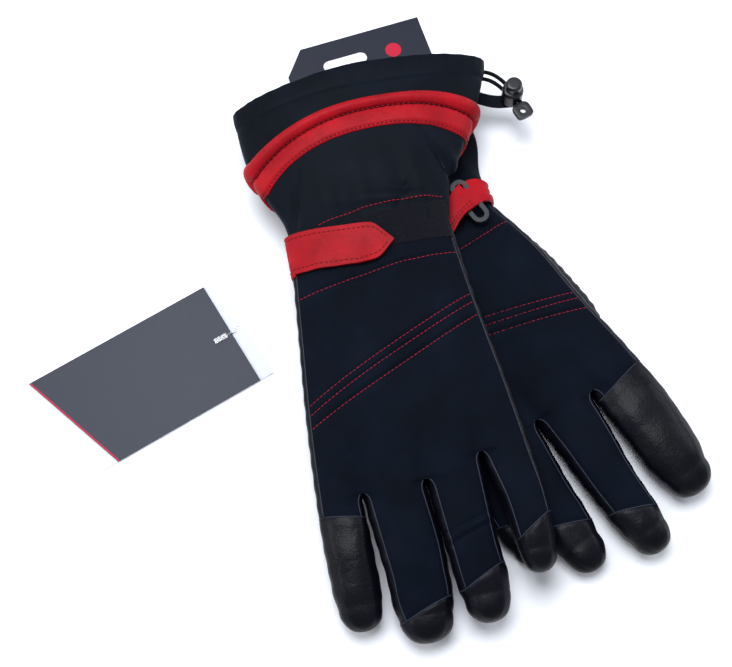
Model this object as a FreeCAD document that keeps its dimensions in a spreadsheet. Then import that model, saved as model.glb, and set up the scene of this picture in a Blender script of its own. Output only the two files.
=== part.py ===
"""A pair of insulated gauntlet work gloves, backs up, the left glove lying across the right one.

Each glove has its own local frame: X across the hand, Y from the fingertips towards the cuff, Z up,
with its origin at the middle of the wrist. Distances "along" run from the wrist towards the
fingertips, so a cuff station has a negative one. "Thumb" edges are negative and "little" edges
positive on both gloves, and the right glove is drawn mirrored.
"""
import math
import os
from collections import namedtuple

import FreeCAD, Part
from FreeCAD import Placement, Rotation, Vector

# ---- driving dimensions, millimetres and degrees -------------------------------------------------
SIZES = {
    # where the two gloves lie, and the shift that centres the whole set on the origin
    "frame_x": 5.8, "frame_y": -19.3,
    "left_wrist_x": 2.0, "left_wrist_y": 44.0, "left_turn": 11.5,
    "right_wrist_x": 25.0, "right_wrist_y": 50.0, "right_turn": 35.0,
    # walls
    "back_wall": 2.6, "palm_wall": 2.4, "lining_wall": 2.6, "cuff_wall": 1.8, "cuff_lining_wall": 1.6,
    "finger_wall": 2.2, "seam_gap": 0.3, "layer_gap": 0.1, "finger_side_gap": 0.6,
    # hand and cuff lengths from the wrist line
    "left_knuckle_along": 132.0, "right_knuckle_along": 122.0,
    "left_cuff_length": 108.0, "right_cuff_length": 97.0, "hem_depth": 16.0,
    "wrist_joint_along": 2.0,
    # thumbs folded under the palms
    "thumb_start_along": 30.0, "thumb_end_along": 108.0, "thumb_tuck": 6.0, "thumb_floor": 0.2,
    "left_thumb_outer": -46.0, "left_thumb_inner": -22.0, "right_thumb_outer": -65.0,
    "right_thumb_inner": -34.0,
    # wrist strap: loop patch, hook patch, red leather tab and its plastic ring
    "strap_width": 25.0, "strap_middle_along": 3.0, "tab_tip": 12.0,
    "left_tab_root": -37.5, "right_tab_root": -34.0, "left_anchor_end": -46.2,
    "right_anchor_end": -45.3, "left_ring_lean": 38.0, "right_ring_lean": 0.0,
    "left_ring_gap": 1.4,
    "right_ring_across": -39.5,
    "tab_point": 9.0, "strap_wall": 1.8, "patch_wall": 1.2, "hook_wall": 1.0,
    "patch_end": 44.0, "patch_start": -20.0, "patch_width": 22.0, "patch_middle_along": -2.0,
    "hook_start": -14.0, "hook_end": 4.0, "hook_width": 19.0,
    "ring_length": 30.0, "ring_width": 11.0, "ring_bar": 2.6, "ring_thickness": 2.4,
    "anchor_width": 23.0,
    # red leather band round the cuff: flat strip and rolled piping above it
    "band_wall": 1.6, "left_piping_wall": 4.0, "right_piping_wall": 2.4, "band_width": 11.5, "piping_width": 11.0,
    "band_peak_along": -64.0, "band_peak_across": 17.0, "band_rise": 24.0,
    # drawcord, toggle, end tab
    "cord_diameter": 2.4, "cord_bore": 3.0, "cord_spacing": 3.6, "cord_height": 24.0,
    "toggle_x": 86.5, "toggle_y": 141.8, "toggle_turn": -61.4, "toggle_diameter": 12.6,
    "toggle_height": 12.0, "button_diameter": 9.6, "button_height": 3.6, "button_clearance": 0.15,
    "button_travel": 2.0, "stem_diameter": 7.6, "stem_length": 5.0, "spring_diameter": 5.0,
    "spring_wire": 0.6, "spring_length": 2.6, "spring_turns": 3.0,
    "tab_length": 10.5, "tab_width": 11.0, "tab_thickness": 3.0, "tab_hole": 3.2, "tab_gap": 0.5,
    "tape_width": 8.0, "tape_thickness": 1.2, "tape_height": 17.5, "tape_root": -23.5,
    "tape_end": 4.5, "tape_sag": 2.5,
    # header card and swing tag
    "card_thickness": 0.6, "header_x": -41.0, "header_y": 188.0, "header_turn": 18.2,
    "header_length": 77.0, "header_height": 60.0, "header_cut_across": 12.9, "header_cut_down": 16.8,
    "slot_across": 24.0, "slot_down": 17.0, "slot_length": 28.0, "slot_width": 8.0,
    "tag_x": -94.0, "tag_y": 28.0, "tag_turn": 31.6, "tag_length": 112.0, "tag_height": 66.0,
    "tag_cut_across": 22.0, "tag_leaf_gap": 0.3, "back_leaf_extra": 8.5, "tag_hole": 4.0,
    "fastener_paddle": 8.0, "fastener_width": 3.0, "fastener_filament": 0.9,
}

# One cross-section of a glove: its place along the hand, its two edges, and at each edge the height
# of its floor and its top. The crown lifts the middle of the top. The turn and the sideways shift
# bend a cuff away from the line of the hand.
Station = namedtuple("Station", "along thumb little thumb_floor little_floor thumb_top little_top"
                                " crown turn shift", defaults=(0.0, 0.0, 0.0))

LEFT_HAND = [
    Station(2, -45, 46, 18, 27.5, 37, 45, 2),
    Station(60, -51, 51.5, 12, 24, 35, 44, 2),
    Station(100, -54.5, 56, 10, 22, 33, 43, 2),
    Station(132, -56.5, 59.5, 6.5, 20, 28, 40, 1),
]
LEFT_CUFF = [
    Station(-0.5, -45, 46.5, 18, 27.5, 37.5, 45, 2),
    Station(-20, -46, 51, 17, 25, 40, 45.5, 4),
    Station(-50, -58, 67, 16.4, 18.5, 42, 45, 6),
    Station(-75, -61, 79, 16, 16.5, 42, 44, 7),
    Station(-108, -63, 91, 15.6, 15.8, 38, 41, 8),
]
RIGHT_HAND = [
    Station(2, -53, 46, 2.5, 0.5, 23.5, 17, 0),
    Station(45, -58, 50, 8.2, 0.2, 27.5, 15, 0.5),
    Station(85, -59, 54, 8.2, 0, 27, 14, 0.5),
    Station(122, -62, 57, 4.5, 0, 26, 13.5, 0),
]
RIGHT_CUFF = [
    Station(-0.5, -53, 46, 1.5, 1.2, 22.5, 16.8, 0),
    Station(-20, -60, 46, 1.2, 1.2, 18, 14.5, 0, -8, -1.4),
    Station(-50, -68, 55, 1.0, 1.0, 12.5, 12.5, 0, -16, -7.8),
    Station(-97, -68, 60, 1.0, 1.0, 12.4, 12.4, 0, -16, -21.3),
]

# Fingers as (thumb side, little side, floor, top) at the knuckle, the middle, near the tip, and at
# the rounded end, with their places along the hand.
Finger = namedtuple("Finger", "name knuckle middle middle_along near near_along end end_along seam")

LEFT_FINGERS = [
    Finger("index", (-56.5, -32.8, 7, 28), (-57.5, -32, 3.5, 24), 172, (-56, -33, 1, 20), 194,
           (-51.5, -37.5, 4.5, 14.5), 205.5, 0),
    Finger("middle", (-32.2, 0.9, 11, 32), (-28.5, 4.3, 6.5, 27.5), 182, (-26, 2, 1.2, 21.5), 206,
           (-19, -5, 5.5, 17), 218, 184),
    Finger("ring", (1.5, 32.4, 15, 36), (5, 32.4, 10.5, 32), 176, (8.5, 32.8, 5.5, 26), 202,
           (14, 27, 10, 22), 214.5, 180),
    Finger("little", (33, 59.5, 20, 40), (38.5, 61.5, 18, 38), 160, (41.5, 60, 16, 35), 186,
           (44.5, 57.5, 20.5, 29.5), 196, 167),
]
RIGHT_FINGERS = [
    Finger("index", (-62, -29.3, 5, 26), (-63, -28.7, 2, 23), 160, (-57.5, -31, 0.3, 20), 194,
           (-51.5, -36.5, 4.5, 15), 205.5, 0),
    Finger("middle", (-28.7, 5.2, 3, 23.5), (-21, 6.2, 1, 22), 180, (-18, 4, 0.2, 20), 207,
           (-13, -1, 5, 15), 218, 186),
    Finger("ring", (5.8, 33.6, 0.4, 17), (10, 36, 0.2, 16), 160, (14.5, 38, 0, 15.5), 192,
           (20, 32, 4, 12), 206, 174),
    Finger("little", (34.2, 56.2, 0.7, 12.8), (36.6, 58, 0, 13.5), 150, (39.5, 58, 0, 13), 176,
           (44, 54, 3, 10), 186, 158),
]
FREE_RIGHT_FINGERS = ("index", "middle")

# The drawcord's two strands, from inside the hem to the end tab, in the set's frame before its shift.
UPPER_CORD_START = (68.0, 157.3)
UPPER_CORD_BEND = 18.0
LOWER_CORD_START = (67.0, 152.6)
LOWER_CORD_BEND = 14.5

doc = FreeCAD.newDocument("WorkGloves")
sheet = doc.addObject("Spreadsheet::Sheet", "Sizes")


def fill_sheet():
    """Writes every driving dimension in the sheet, one row each: its name, its value, its alias."""
    for row, (name, value) in enumerate(SIZES.items(), start=1):
        sheet.set(f"A{row}", name)
        sheet.set(f"B{row}", str(value))
        sheet.setAlias(f"B{row}", name)
    doc.recompute()


def size(name):
    return float(sheet.get(name))


fill_sheet()
PARTS = []


# ---- helpers -------------------------------------------------------------------------------------
class Glove:
    """One glove's side, its mirror sign and its place in the set."""

    def __init__(self, side, hand, cuff, fingers):
        self.side = side
        self.sign = 1 if side == "left" else -1
        self.hand = hand
        self.cuff = cuff
        self.fingers = fingers
        self.knuckle = size(f"{side}_knuckle_along")

    def place(self, body):
        """Puts a body drawn in the glove's frame in its place, through the sheet."""
        body.setExpression("Placement.Base.x", f"Sizes.{self.side}_wrist_x + Sizes.frame_x")
        body.setExpression("Placement.Base.y", f"Sizes.{self.side}_wrist_y + Sizes.frame_y")
        body.Placement.Rotation = Rotation(Vector(0, 0, 1), size(f"{self.side}_turn"))


def make_body(name):
    body = doc.addObject("PartDesign::Body", name)
    body.Label = name
    PARTS.append(body)
    return body


def plane(body, role):
    return next(item for item in body.Origin.OriginFeatures if item.Role == role)


def make_sketch(body, name, role, offset):
    sketch = body.newObject("Sketcher::SketchObject", name)
    sketch.AttachmentSupport = [(plane(body, role), "")]
    sketch.MapMode = "FlatFace"
    sketch.AttachmentOffset = offset
    return sketch


def sketch_curve(points, sign):
    """A straight line through two points or an arc through three, mirrored for the right glove."""
    places = [Vector(sign * x, y, 0) for x, y in points]
    return Part.LineSegment(*places) if len(places) == 2 else Part.Arc(*places)


def corner(centre, radius, first, last):
    """Three points on a quarter circle of a section's edge, from one angle to another."""
    return [(centre[0] + radius * math.cos(math.radians(angle)),
             centre[1] + radius * math.sin(math.radians(angle)))
            for angle in (first, (first + last) / 2, last)]


def bow(start, end, crown):
    """The top or the floor of a section: a straight line, or an arc lifted by the crown."""
    if abs(crown) < 0.01:
        return [start, end]
    return [start, ((start[0] + end[0]) / 2, (start[1] + end[1]) / 2 + crown), end]


def edge_circles(station, inset):
    """Centre and radius of the quarter circles at a section's thumb and little edges."""
    circles = []
    for edge, floor, top, way in ((station.thumb, station.thumb_floor, station.thumb_top, 1),
                                  (station.little, station.little_floor, station.little_top, -1)):
        radius = (top - floor) / 2 - inset
        circles.append(((edge + way * (inset + radius), (floor + top) / 2), radius))
    return circles


def section_half(station, inset, upper):
    """Half of a section's outline, from its thumb edge to its little edge, shrunk by the inset."""
    way = 1 if upper else -1
    (thumb_centre, thumb_radius), (little_centre, little_radius) = edge_circles(station, inset)
    start = (thumb_centre[0], thumb_centre[1] + way * thumb_radius)
    end = (little_centre[0], little_centre[1] + way * little_radius)
    return [corner(thumb_centre, thumb_radius, 180, 180 - 90 * way),
            bow(start, end, station.crown if upper else 0),
            corner(little_centre, little_radius, 90 * way, 0)]


def section_curves(station, inset, half, wall):
    """The closed outline of a whole section, or of an upper or lower half with a wall."""
    if half == "whole":
        return section_half(station, inset, True) + section_half(station, inset, False)
    upper = half == "upper"
    outer = section_half(station, inset, upper)
    inner = section_half(station, inset + wall, upper)
    return outer + inner + [[outer[0][0], inner[0][0]], [outer[-1][-1], inner[-1][-1]]]


def section_sketch(body, glove, name, station, inset, half="whole", wall=0.0):
    offset = Placement(Vector(glove.sign * station.shift, 0, station.along),
                       Rotation(Vector(0, 1, 0), station.turn))
    sketch = make_sketch(body, name, "XZ_Plane", offset)
    for curve in section_curves(station, inset, half, wall):
        sketch.addGeometry(sketch_curve(curve, glove.sign), False)
    return sketch


def loft(body, glove, kind, label, stations, inset, half="whole", wall=0.0):
    """A straight-sided loft through the stations' sections, added to or cut from the body."""
    sketches = [section_sketch(body, glove, f"{body.Name}_{label}_{index}", station, inset, half, wall)
                for index, station in enumerate(stations)]
    feature = body.newObject(f"PartDesign::{kind}", f"{body.Name}_{label}")
    feature.Profile = sketches[0]
    feature.Sections = sketches[1:]
    feature.Ruled = True
    doc.recompute()
    return feature


def plan_sketch(body, glove_sign, name, outline, height, cut_away=False):
    """A plan outline of points and arcs; an arc is a (middle, end) pair. Mirrored for the right."""
    sketch = make_sketch(body, name, "XY_Plane", Placement(Vector(0, 0, height), Rotation()))
    here = outline[0]
    closing = [] if isinstance(outline[-1][0], tuple) and outline[-1][1] == here else [here]
    for item in list(outline[1:]) + closing:
        onward = list(item) if isinstance(item[0], tuple) else [item]
        sketch.addGeometry(sketch_curve([here] + onward, glove_sign), False)
        here = onward[-1]
    if cut_away:
        far = 400.0
        corners = [(-far, -far), (far, -far), (far, far), (-far, far)]
        for first, second in zip(corners, corners[1:] + corners[:1]):
            sketch.addGeometry(sketch_curve([first, second], 1), False)
    return sketch


def trim_to(body, glove, outline):
    """Keeps only what lies under a plan outline given as (across, along) points."""
    turned = [flip(item) for item in outline]
    before = body.Shape.Volume
    sketch = plan_sketch(body, glove.sign, f"{body.Name}_outline", turned, 100.0, cut_away=True)
    pocket = body.newObject("PartDesign::Pocket", f"{body.Name}_trim")
    pocket.Profile = sketch
    pocket.Type = "ThroughAll"
    doc.recompute()
    if not 0 < body.Shape.Volume < before:
        raise RuntimeError(f"the outline of {body.Name} cut nothing")


def flip(item):
    """(across, along) to plan coordinates, where Y runs towards the cuff."""
    if isinstance(item[0], tuple):
        return tuple((x, -along) for x, along in item)
    return (item[0], -item[1])


def between(stations, along):
    """The section of a straight-sided loft at one place along the hand."""
    ordered = sorted(stations, key=lambda station: station.along)
    for first, second in zip(ordered, ordered[1:]):
        if first.along <= along <= second.along:
            share = (along - first.along) / (second.along - first.along)
            return Station(*[a + share * (b - a) for a, b in zip(first, second)])
    return ordered[0]._replace(along=along) if along < ordered[0].along else (
        ordered[-1]._replace(along=along))


def stretch(stations, start, end):
    """The stations from start to end, with new sections at both ends."""
    inside = [station for station in stations if start < station.along < end]
    inside.sort(key=lambda station: station.along)
    return [between(stations, start)] + inside + [between(stations, end)]


def finger_stations(finger, glove):
    """A finger's sections from its knuckle to its rounded end."""
    places = [(glove.knuckle + size("seam_gap"), finger.knuckle), (finger.middle_along, finger.middle),
              (finger.near_along, finger.near), (finger.end_along, finger.end)]
    return [Station(along, thumb, little, floor, floor, top, top, 0)
            for along, (thumb, little, floor, top) in places]


# ---- the hand of a glove -------------------------------------------------------------------------
def hand_shells(glove):
    """Softshell back and leather palm, meeting along the hand's two edges."""
    stations = stretch(glove.hand, size("wrist_joint_along"), glove.knuckle)
    back = make_body(f"{glove.side}_hand_back")
    loft(back, glove, "AdditiveLoft", "shell", stations, 0, "upper", size("back_wall"))
    palm = make_body(f"{glove.side}_palm")
    loft(palm, glove, "AdditiveLoft", "shell", stations, 0, "lower", size("palm_wall"))
    for finger in glove.fingers:
        if glove.side == "right" and finger.name not in FREE_RIGHT_FINGERS:
            own = finger_stations(finger, glove)
            run = stretch([own[0]._replace(along=glove.knuckle - 1)] + own, glove.knuckle - 1,
                          finger.seam)
            wall = size("finger_wall")
            loft(back, glove, "AdditiveLoft", finger.name, run, 0, "upper", wall)
            loft(palm, glove, "AdditiveLoft", finger.name, run, 0, "lower", wall)
    for body in (back, palm):
        glove.place(body)


def lining(glove):
    """One bag, closed at the knuckles and open at the cuff's mouth."""
    body = make_body(f"{glove.side}_lining")
    hand_inset = size("back_wall") + size("layer_gap")
    cuff_inset = size("cuff_wall") + size("layer_gap")
    mouth = -(size(f"{glove.side}_cuff_length") - size("hem_depth"))
    knuckle = glove.knuckle - size("lining_wall")
    wrist = size("wrist_joint_along")
    hand = stretch(glove.hand, wrist, knuckle)
    cuff = stretch(glove.cuff, mouth, -wrist)
    loft(body, glove, "AdditiveLoft", "hand", hand, hand_inset)
    loft(body, glove, "AdditiveLoft", "cuff", cuff, cuff_inset)
    wrist_sections = [between(glove.cuff, -wrist), between(glove.hand, wrist)]
    loft(body, glove, "AdditiveLoft", "wrist", wrist_sections, hand_inset)
    hollow_hand = stretch(glove.hand, wrist, knuckle - size("lining_wall"))
    loft(body, glove, "SubtractiveLoft", "hand_space", hollow_hand, hand_inset + size("lining_wall"))
    loft(body, glove, "SubtractiveLoft", "cuff_space", cuff, cuff_inset + size("cuff_lining_wall"))
    loft(body, glove, "SubtractiveLoft", "wrist_space", wrist_sections,
         hand_inset + size("lining_wall"))
    glove.place(body)


def thumb(glove):
    """The leather thumb stall, folded flat under the palm on the thumb side."""
    body = make_body(f"{glove.side}_thumb")
    outer, inner = size(f"{glove.side}_thumb_outer"), size(f"{glove.side}_thumb_inner")
    start, end = size("thumb_start_along"), size("thumb_end_along")
    tuck, clear, lift = size("thumb_tuck"), size("seam_gap"), size("thumb_floor")
    places = [(start, outer + tuck, inner)]
    places += [(station.along, outer, inner) for station in glove.hand
               if start < station.along < end]
    places.append((end, outer + tuck, inner - tuck))
    stations = []
    for along, first, last in places:
        palm = between(glove.hand, along)
        round_off = floor_height(palm, first) / 2
        tops = [floor_height(palm, first + round_off) - clear,
                floor_height(palm, last - round_off) - clear]
        stations.append(Station(along, first, last, lift, lift, *tops))
    loft(body, glove, "AdditiveLoft", "stall", stations, 0)
    glove.place(body)


def floor_height(station, across):
    """How high a section's flat floor lies at one place across it."""
    thumb_radius = (station.thumb_top - station.thumb_floor) / 2
    little_radius = (station.little_top - station.little_floor) / 2
    first, last = station.thumb + thumb_radius, station.little - little_radius
    share = (min(max(across, first), last) - first) / (last - first)
    return station.thumb_floor + share * (station.little_floor - station.thumb_floor)


# ---- the fingers ---------------------------------------------------------------------------------
def finger_parts(glove, finger):
    """Back, underside, tip cap and lining core of a finger that can be lifted."""
    stations = finger_stations(finger, glove)
    wall = size("finger_wall")
    base, end = stations[0].along, finger.end_along
    seam = finger.seam or end
    for half, part in (("upper", "back"), ("lower", "under")):
        body = make_body(f"{glove.side}_{finger.name}_{part}")
        loft(body, glove, "AdditiveLoft", "shell", stretch(stations, base, seam), 0, half, wall)
        glove.place(body)
    if finger.seam:
        tip = make_body(f"{glove.side}_{finger.name}_tip")
        finger_tip(glove, finger, tip, stations)
        glove.place(tip)
    core = make_body(f"{glove.side}_{finger.name}_lining")
    loft(core, glove, "AdditiveLoft", "core", stretch(stations, base, end - wall - 0.2), wall + 0.05)
    glove.place(core)


def finger_tip(glove, finger, body, stations):
    """A leather cap: the finger's rounded end, hollow for the lining."""
    wall = size("finger_wall")
    start = finger.seam + size("layer_gap")
    loft(body, glove, "AdditiveLoft", "cap", stretch(stations, start, finger.end_along), 0)
    loft(body, glove, "SubtractiveLoft", "hollow",
         stretch(stations, start, finger.end_along - wall), wall)


# ---- the cuff ------------------------------------------------------------------------------------
def cuff_shell(glove):
    """The black nylon gauntlet: a tube from the wrist to the open mouth."""
    body = make_body(f"{glove.side}_cuff_shell")
    stations = stretch(glove.cuff, -size(f"{glove.side}_cuff_length"),
                       -size("wrist_joint_along") + size("seam_gap"))
    loft(body, glove, "AdditiveLoft", "outer", stations, 0)
    loft(body, glove, "SubtractiveLoft", "space", stations, size("cuff_wall"))
    glove.place(body)


def arched_strip(glove, near, width):
    """Plan outline of a strip that arches across the cuff, its peak towards the mouth."""
    middle, rise = size("band_peak_across"), size("band_rise")
    thumb_edge, little_edge = -80.0, 108.0
    far = near - width
    return [(thumb_edge, near + rise), ((middle, near), (little_edge, near + rise)),
            (little_edge, far + rise), ((middle, far), (thumb_edge, far + rise))]


def cuff_band(glove):
    """The flat red leather strip and, on its mouth side, the rolled piping."""
    near = size("band_peak_along")
    gap = size("layer_gap")
    for part, wall, start, width in (
            ("cuff_band", size("band_wall"), near, size("band_width")),
            ("cuff_piping", size(f"{glove.side}_piping_wall"), near - size("band_width") - gap,
             size("piping_width"))):
        body = make_body(f"{glove.side}_{part}")
        stations = stretch(glove.cuff, start - width - 1, start + size("band_rise") + 8)
        loft(body, glove, "AdditiveLoft", "shell", stations, -gap - wall, "upper", wall)
        trim_to(body, glove, arched_strip(glove, start, width))
        glove.place(body)


# ---- the wrist strap -----------------------------------------------------------------------------
def wrist_stations(glove, start, end):
    """The wrist's top surface, taken across the joint between the hand and the cuff."""
    return stretch(glove.hand + [glove.cuff[1], glove.cuff[2]], start, end)


def draped(glove, name, lift, wall, outline):
    """A soft layer that follows the wrist's top, trimmed to its outline."""
    body = make_body(f"{glove.side}_{name}")
    alongs = [along for _, along in outline]
    stations = wrist_stations(glove, min(alongs) - 2.0, max(alongs) + 2.0)
    loft(body, glove, "AdditiveLoft", "layer", stations, -lift - wall, "upper", wall)
    trim_to(body, glove, outline)
    glove.place(body)


def rectangle(first, last, middle, width):
    near, far = middle + width / 2, middle - width / 2
    return [(first, near), (last, near), (last, far), (first, far)]


def wrist_strap(glove):
    """Loop patch, hook patch, leather tab, the ring it turns through and the ring's anchor."""
    gap = size("layer_gap")
    patch_lift = size("seam_gap")
    hook_lift = patch_lift + size("patch_wall") + gap
    tab_lift = hook_lift + size("hook_wall") + gap
    middle = size("strap_middle_along")
    draped(glove, "loop_patch", patch_lift, size("patch_wall"),
           rectangle(size("patch_start"), size("patch_end"), size("patch_middle_along"),
                     size("patch_width")))
    draped(glove, "hook_patch", hook_lift, size("hook_wall"),
           rectangle(size("hook_start"), size("hook_end"), middle, size("hook_width")))
    half = size("strap_width") / 2
    tip, root, point = size("tab_tip"), size(f"{glove.side}_tab_root"), size("tab_point")
    tab = [(root, middle + half), (tip - point, middle + half), (tip, middle),
           (tip - point, middle - half), (root, middle - half)]
    draped(glove, "strap_tab", tab_lift, size("strap_wall"), tab)
    anchor_end = size(f"{glove.side}_anchor_end")
    draped(glove, "strap_anchor", gap, size("strap_wall"),
           rectangle(anchor_end - 30.0, anchor_end, middle, size("anchor_width")))
    strap_ring(glove, middle, tab_lift)


def stadium(centre, straight, half, upright):
    """Outline of a slot or a long ring: two straight sides joined by half circles."""
    points = [(-straight, -half), (straight, -half),
              ((straight + half, 0), (straight, half)), (-straight, half),
              ((-straight - half, 0), (-straight, -half))]

    def put(point):
        x, y = (-point[1], point[0]) if upright else point
        return (centre[0] + x, centre[1] + y)

    return [tuple(put(point) for point in item) if isinstance(item[0], tuple) else put(item)
            for item in points]


def strap_ring(glove, along, lift):
    """The oval plastic ring between the tab and its anchor.

    On the right glove it lies on the wrist; on the left the strap has pulled it against the
    rounded thumb edge, so it leans.
    """
    body = make_body(f"{glove.side}_strap_ring")
    long_half, short_half = size("ring_length") / 2, size("ring_width") / 2 - size("seam_gap")
    for kind, inset in (("Pad", 0.0), ("Pocket", size("ring_bar"))):
        half = short_half - inset
        outline = stadium((0, 0), long_half - inset - half, half, True)
        feature = body.newObject(f"PartDesign::{kind}", f"{body.Name}_{kind}")
        feature.Profile = plan_sketch(body, 1, f"{body.Name}_{kind}_outline", outline, 0.0)
        if kind == "Pad":
            feature.setExpression("Length", "Sizes.ring_thickness")
        else:
            feature.Type = "ThroughAll"
            feature.Reversed = True
        doc.recompute()
    station = between(wrist_stations(glove, along - 5, along + 5), along)
    lean = size(f"{glove.side}_ring_lean")
    if lean:
        (centre, radius), _ = edge_circles(station, -size("left_ring_gap"))
        across = centre[0] - radius * math.sin(math.radians(lean))
        base = centre[1] + radius * math.cos(math.radians(lean))
    else:
        across = size(f"{glove.side}_ring_across")
        base = top_height(station, across) + lift
        lean = math.degrees(math.atan2(station.little_top - station.thumb_top,
                                       station.little - station.thumb))
    local = Placement(Vector(glove.sign * across, -along, base),
                      Rotation(Vector(0, 1, 0), -glove.sign * lean))
    body.Placement = glove_placement(glove).multiply(local)


def top_height(station, across):
    """The height of a section's top at one place across it."""
    thumb_radius = (station.thumb_top - station.thumb_floor) / 2
    little_radius = (station.little_top - station.little_floor) / 2
    first, last = station.thumb + thumb_radius, station.little - little_radius
    share = (across - first) / (last - first)
    height = station.thumb_top + share * (station.little_top - station.thumb_top)
    return height + station.crown * (1 - (2 * share - 1) ** 2)


def glove_placement(glove):
    return Placement(Vector(size(f"{glove.side}_wrist_x") + size("frame_x"),
                            size(f"{glove.side}_wrist_y") + size("frame_y"), 0),
                     Rotation(Vector(0, 0, 1), size(f"{glove.side}_turn")))


# ---- drawcord, toggle and end tab ----------------------------------------------------------------
def toggle_placement(height):
    """At the toggle's upright axis, with X along the cords towards the end tab."""
    return Placement(Vector(size("toggle_x") + size("frame_x"), size("toggle_y") + size("frame_y"),
                            height),
                     Rotation(Vector(0, 0, 1), size("toggle_turn")))


def rounded_path(points):
    """Straight runs joined by tangent arcs, each arc as large as its two runs allow."""
    edges = []
    here = points[0]
    for before, corner, after in zip(points, points[1:], points[2:]):
        first, second = corner - before, after - corner
        turn = first.getAngle(second)
        reach = 0.45 * min(first.Length, second.Length)
        radius = reach / math.tan(turn / 2)
        first.normalize()
        second.normalize()
        start, end = corner - first * reach, corner + second * reach
        inward = second - first
        inward.normalize()
        centre = corner + inward * math.hypot(radius, reach)
        middle = centre - inward * radius
        edges.append(Part.LineSegment(here, start).toShape())
        edges.append(Part.Arc(start, middle, end).toShape())
        here = end
        print(f"cord arc radius {radius:.1f} mm")
    edges.append(Part.LineSegment(here, points[-1]).toShape())
    return Part.Wire(edges)


def cord(name, start, bend, side):
    """One strand: out of the hem, round one bend and straight through the toggle to the tab."""
    height = size("cord_height")
    frame = toggle_placement(height)
    offset = side * size("cord_spacing") / 2
    end = frame.multVec(Vector(size("toggle_diameter") / 2 + size("tab_gap"), offset, 0))
    corner = frame.multVec(Vector(-bend, offset, 0))
    first = Vector(start[0] + size("frame_x"), start[1] + size("frame_y"), height)
    path = rounded_path([first, corner, end])
    profile = Part.Wire(Part.makeCircle(size("cord_diameter") / 2, first, corner - first))
    feature = doc.addObject("Part::Feature", name)
    feature.Label = name
    feature.Shape = path.makePipeShell([profile], True, False)
    section = math.pi * size("cord_diameter") ** 2 / 4
    print(f"{name}: {path.Length:.1f} mm long, volume {feature.Shape.Volume:.1f},"
          f" section times length {section * path.Length:.1f}")
    PARTS.append(feature)


def toggle():
    """Round spring toggle: a body with two cross bores, and a button on a spring inside it."""
    gap = size("button_clearance")
    height, radius = size("toggle_height"), size("toggle_diameter") / 2
    stem_radius = size("stem_diameter") / 2
    base = toggle_placement(size("cord_height") - height / 2 + 1.0)

    body = doc.addObject("Part::Cylinder", "toggle_barrel")
    body.setExpression("Radius", "Sizes.toggle_diameter / 2")
    body.setExpression("Height", "Sizes.toggle_height")
    well = doc.addObject("Part::Cylinder", "toggle_well")
    well.Radius = stem_radius + gap
    depth = size("stem_length") - 0.5
    well.Height = depth + 1.0
    well.Placement.Base.z = height - depth
    tools = [well]
    for side in (-1, 1):
        bore = doc.addObject("Part::Cylinder", f"toggle_bore_{side + 1}")
        bore.setExpression("Radius", "Sizes.cord_bore / 2")
        bore.Height = 4 * radius
        bore.Placement = Placement(Vector(-2 * radius, side * size("cord_spacing") / 2,
                                          height / 2 - 1.0), Rotation(Vector(0, 1, 0), 90))
        tools.append(bore)
    cutters = doc.addObject("Part::MultiFuse", "toggle_cutters")
    cutters.Shapes = tools
    shell = doc.addObject("Part::Cut", "toggle_body")
    shell.Base, shell.Tool = body, cutters
    shell.Label = "toggle_body"
    shell.Placement = base
    PARTS.append(shell)

    button = doc.addObject("Part::Cylinder", "button_cap")
    button.setExpression("Radius", "Sizes.button_diameter / 2")
    button.setExpression("Height", "Sizes.button_height")
    button.Placement.Base.z = height + size("button_travel") + 0.3
    rounded = doc.addObject("Part::Fillet", "button_round")
    rounded.Base = button
    doc.recompute()
    top_edge = max(range(1, len(button.Shape.Edges) + 1),
                   key=lambda index: button.Shape.Edges[index - 1].BoundBox.ZMin)
    rounded.Edges = [(top_edge, 1.2, 1.2)]
    stem = doc.addObject("Part::Cylinder", "button_stem")
    stem.Radius = stem_radius
    stem.Height = size("button_travel") + 0.3 + 1.2
    stem.Placement.Base.z = height - 1.0
    whole = doc.addObject("Part::MultiFuse", "toggle_button")
    whole.Shapes = [rounded, stem]
    whole.Label = "toggle_button"
    whole.Placement = base
    PARTS.append(whole)

    spring = doc.addObject("Part::Feature", "toggle_spring")
    spring.Label = "toggle_spring"
    wire, turns = size("spring_wire"), size("spring_turns")
    coil_radius = size("spring_diameter") / 2
    free = depth - 1.0 - wire - 0.2
    helix = Part.makeHelix(free / turns, free, coil_radius)
    profile = Part.Wire(Part.makeCircle(wire / 2, Vector(coil_radius, 0, 0), Vector(0, 1, 0)))
    spring.Shape = Part.Wire(helix.Edges).makePipeShell([profile], True, True)
    lift = height - depth + wire / 2 + 0.1
    spring.Placement = base.multiply(Placement(Vector(0, 0, lift), Rotation()))
    PARTS.append(spring)


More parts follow.
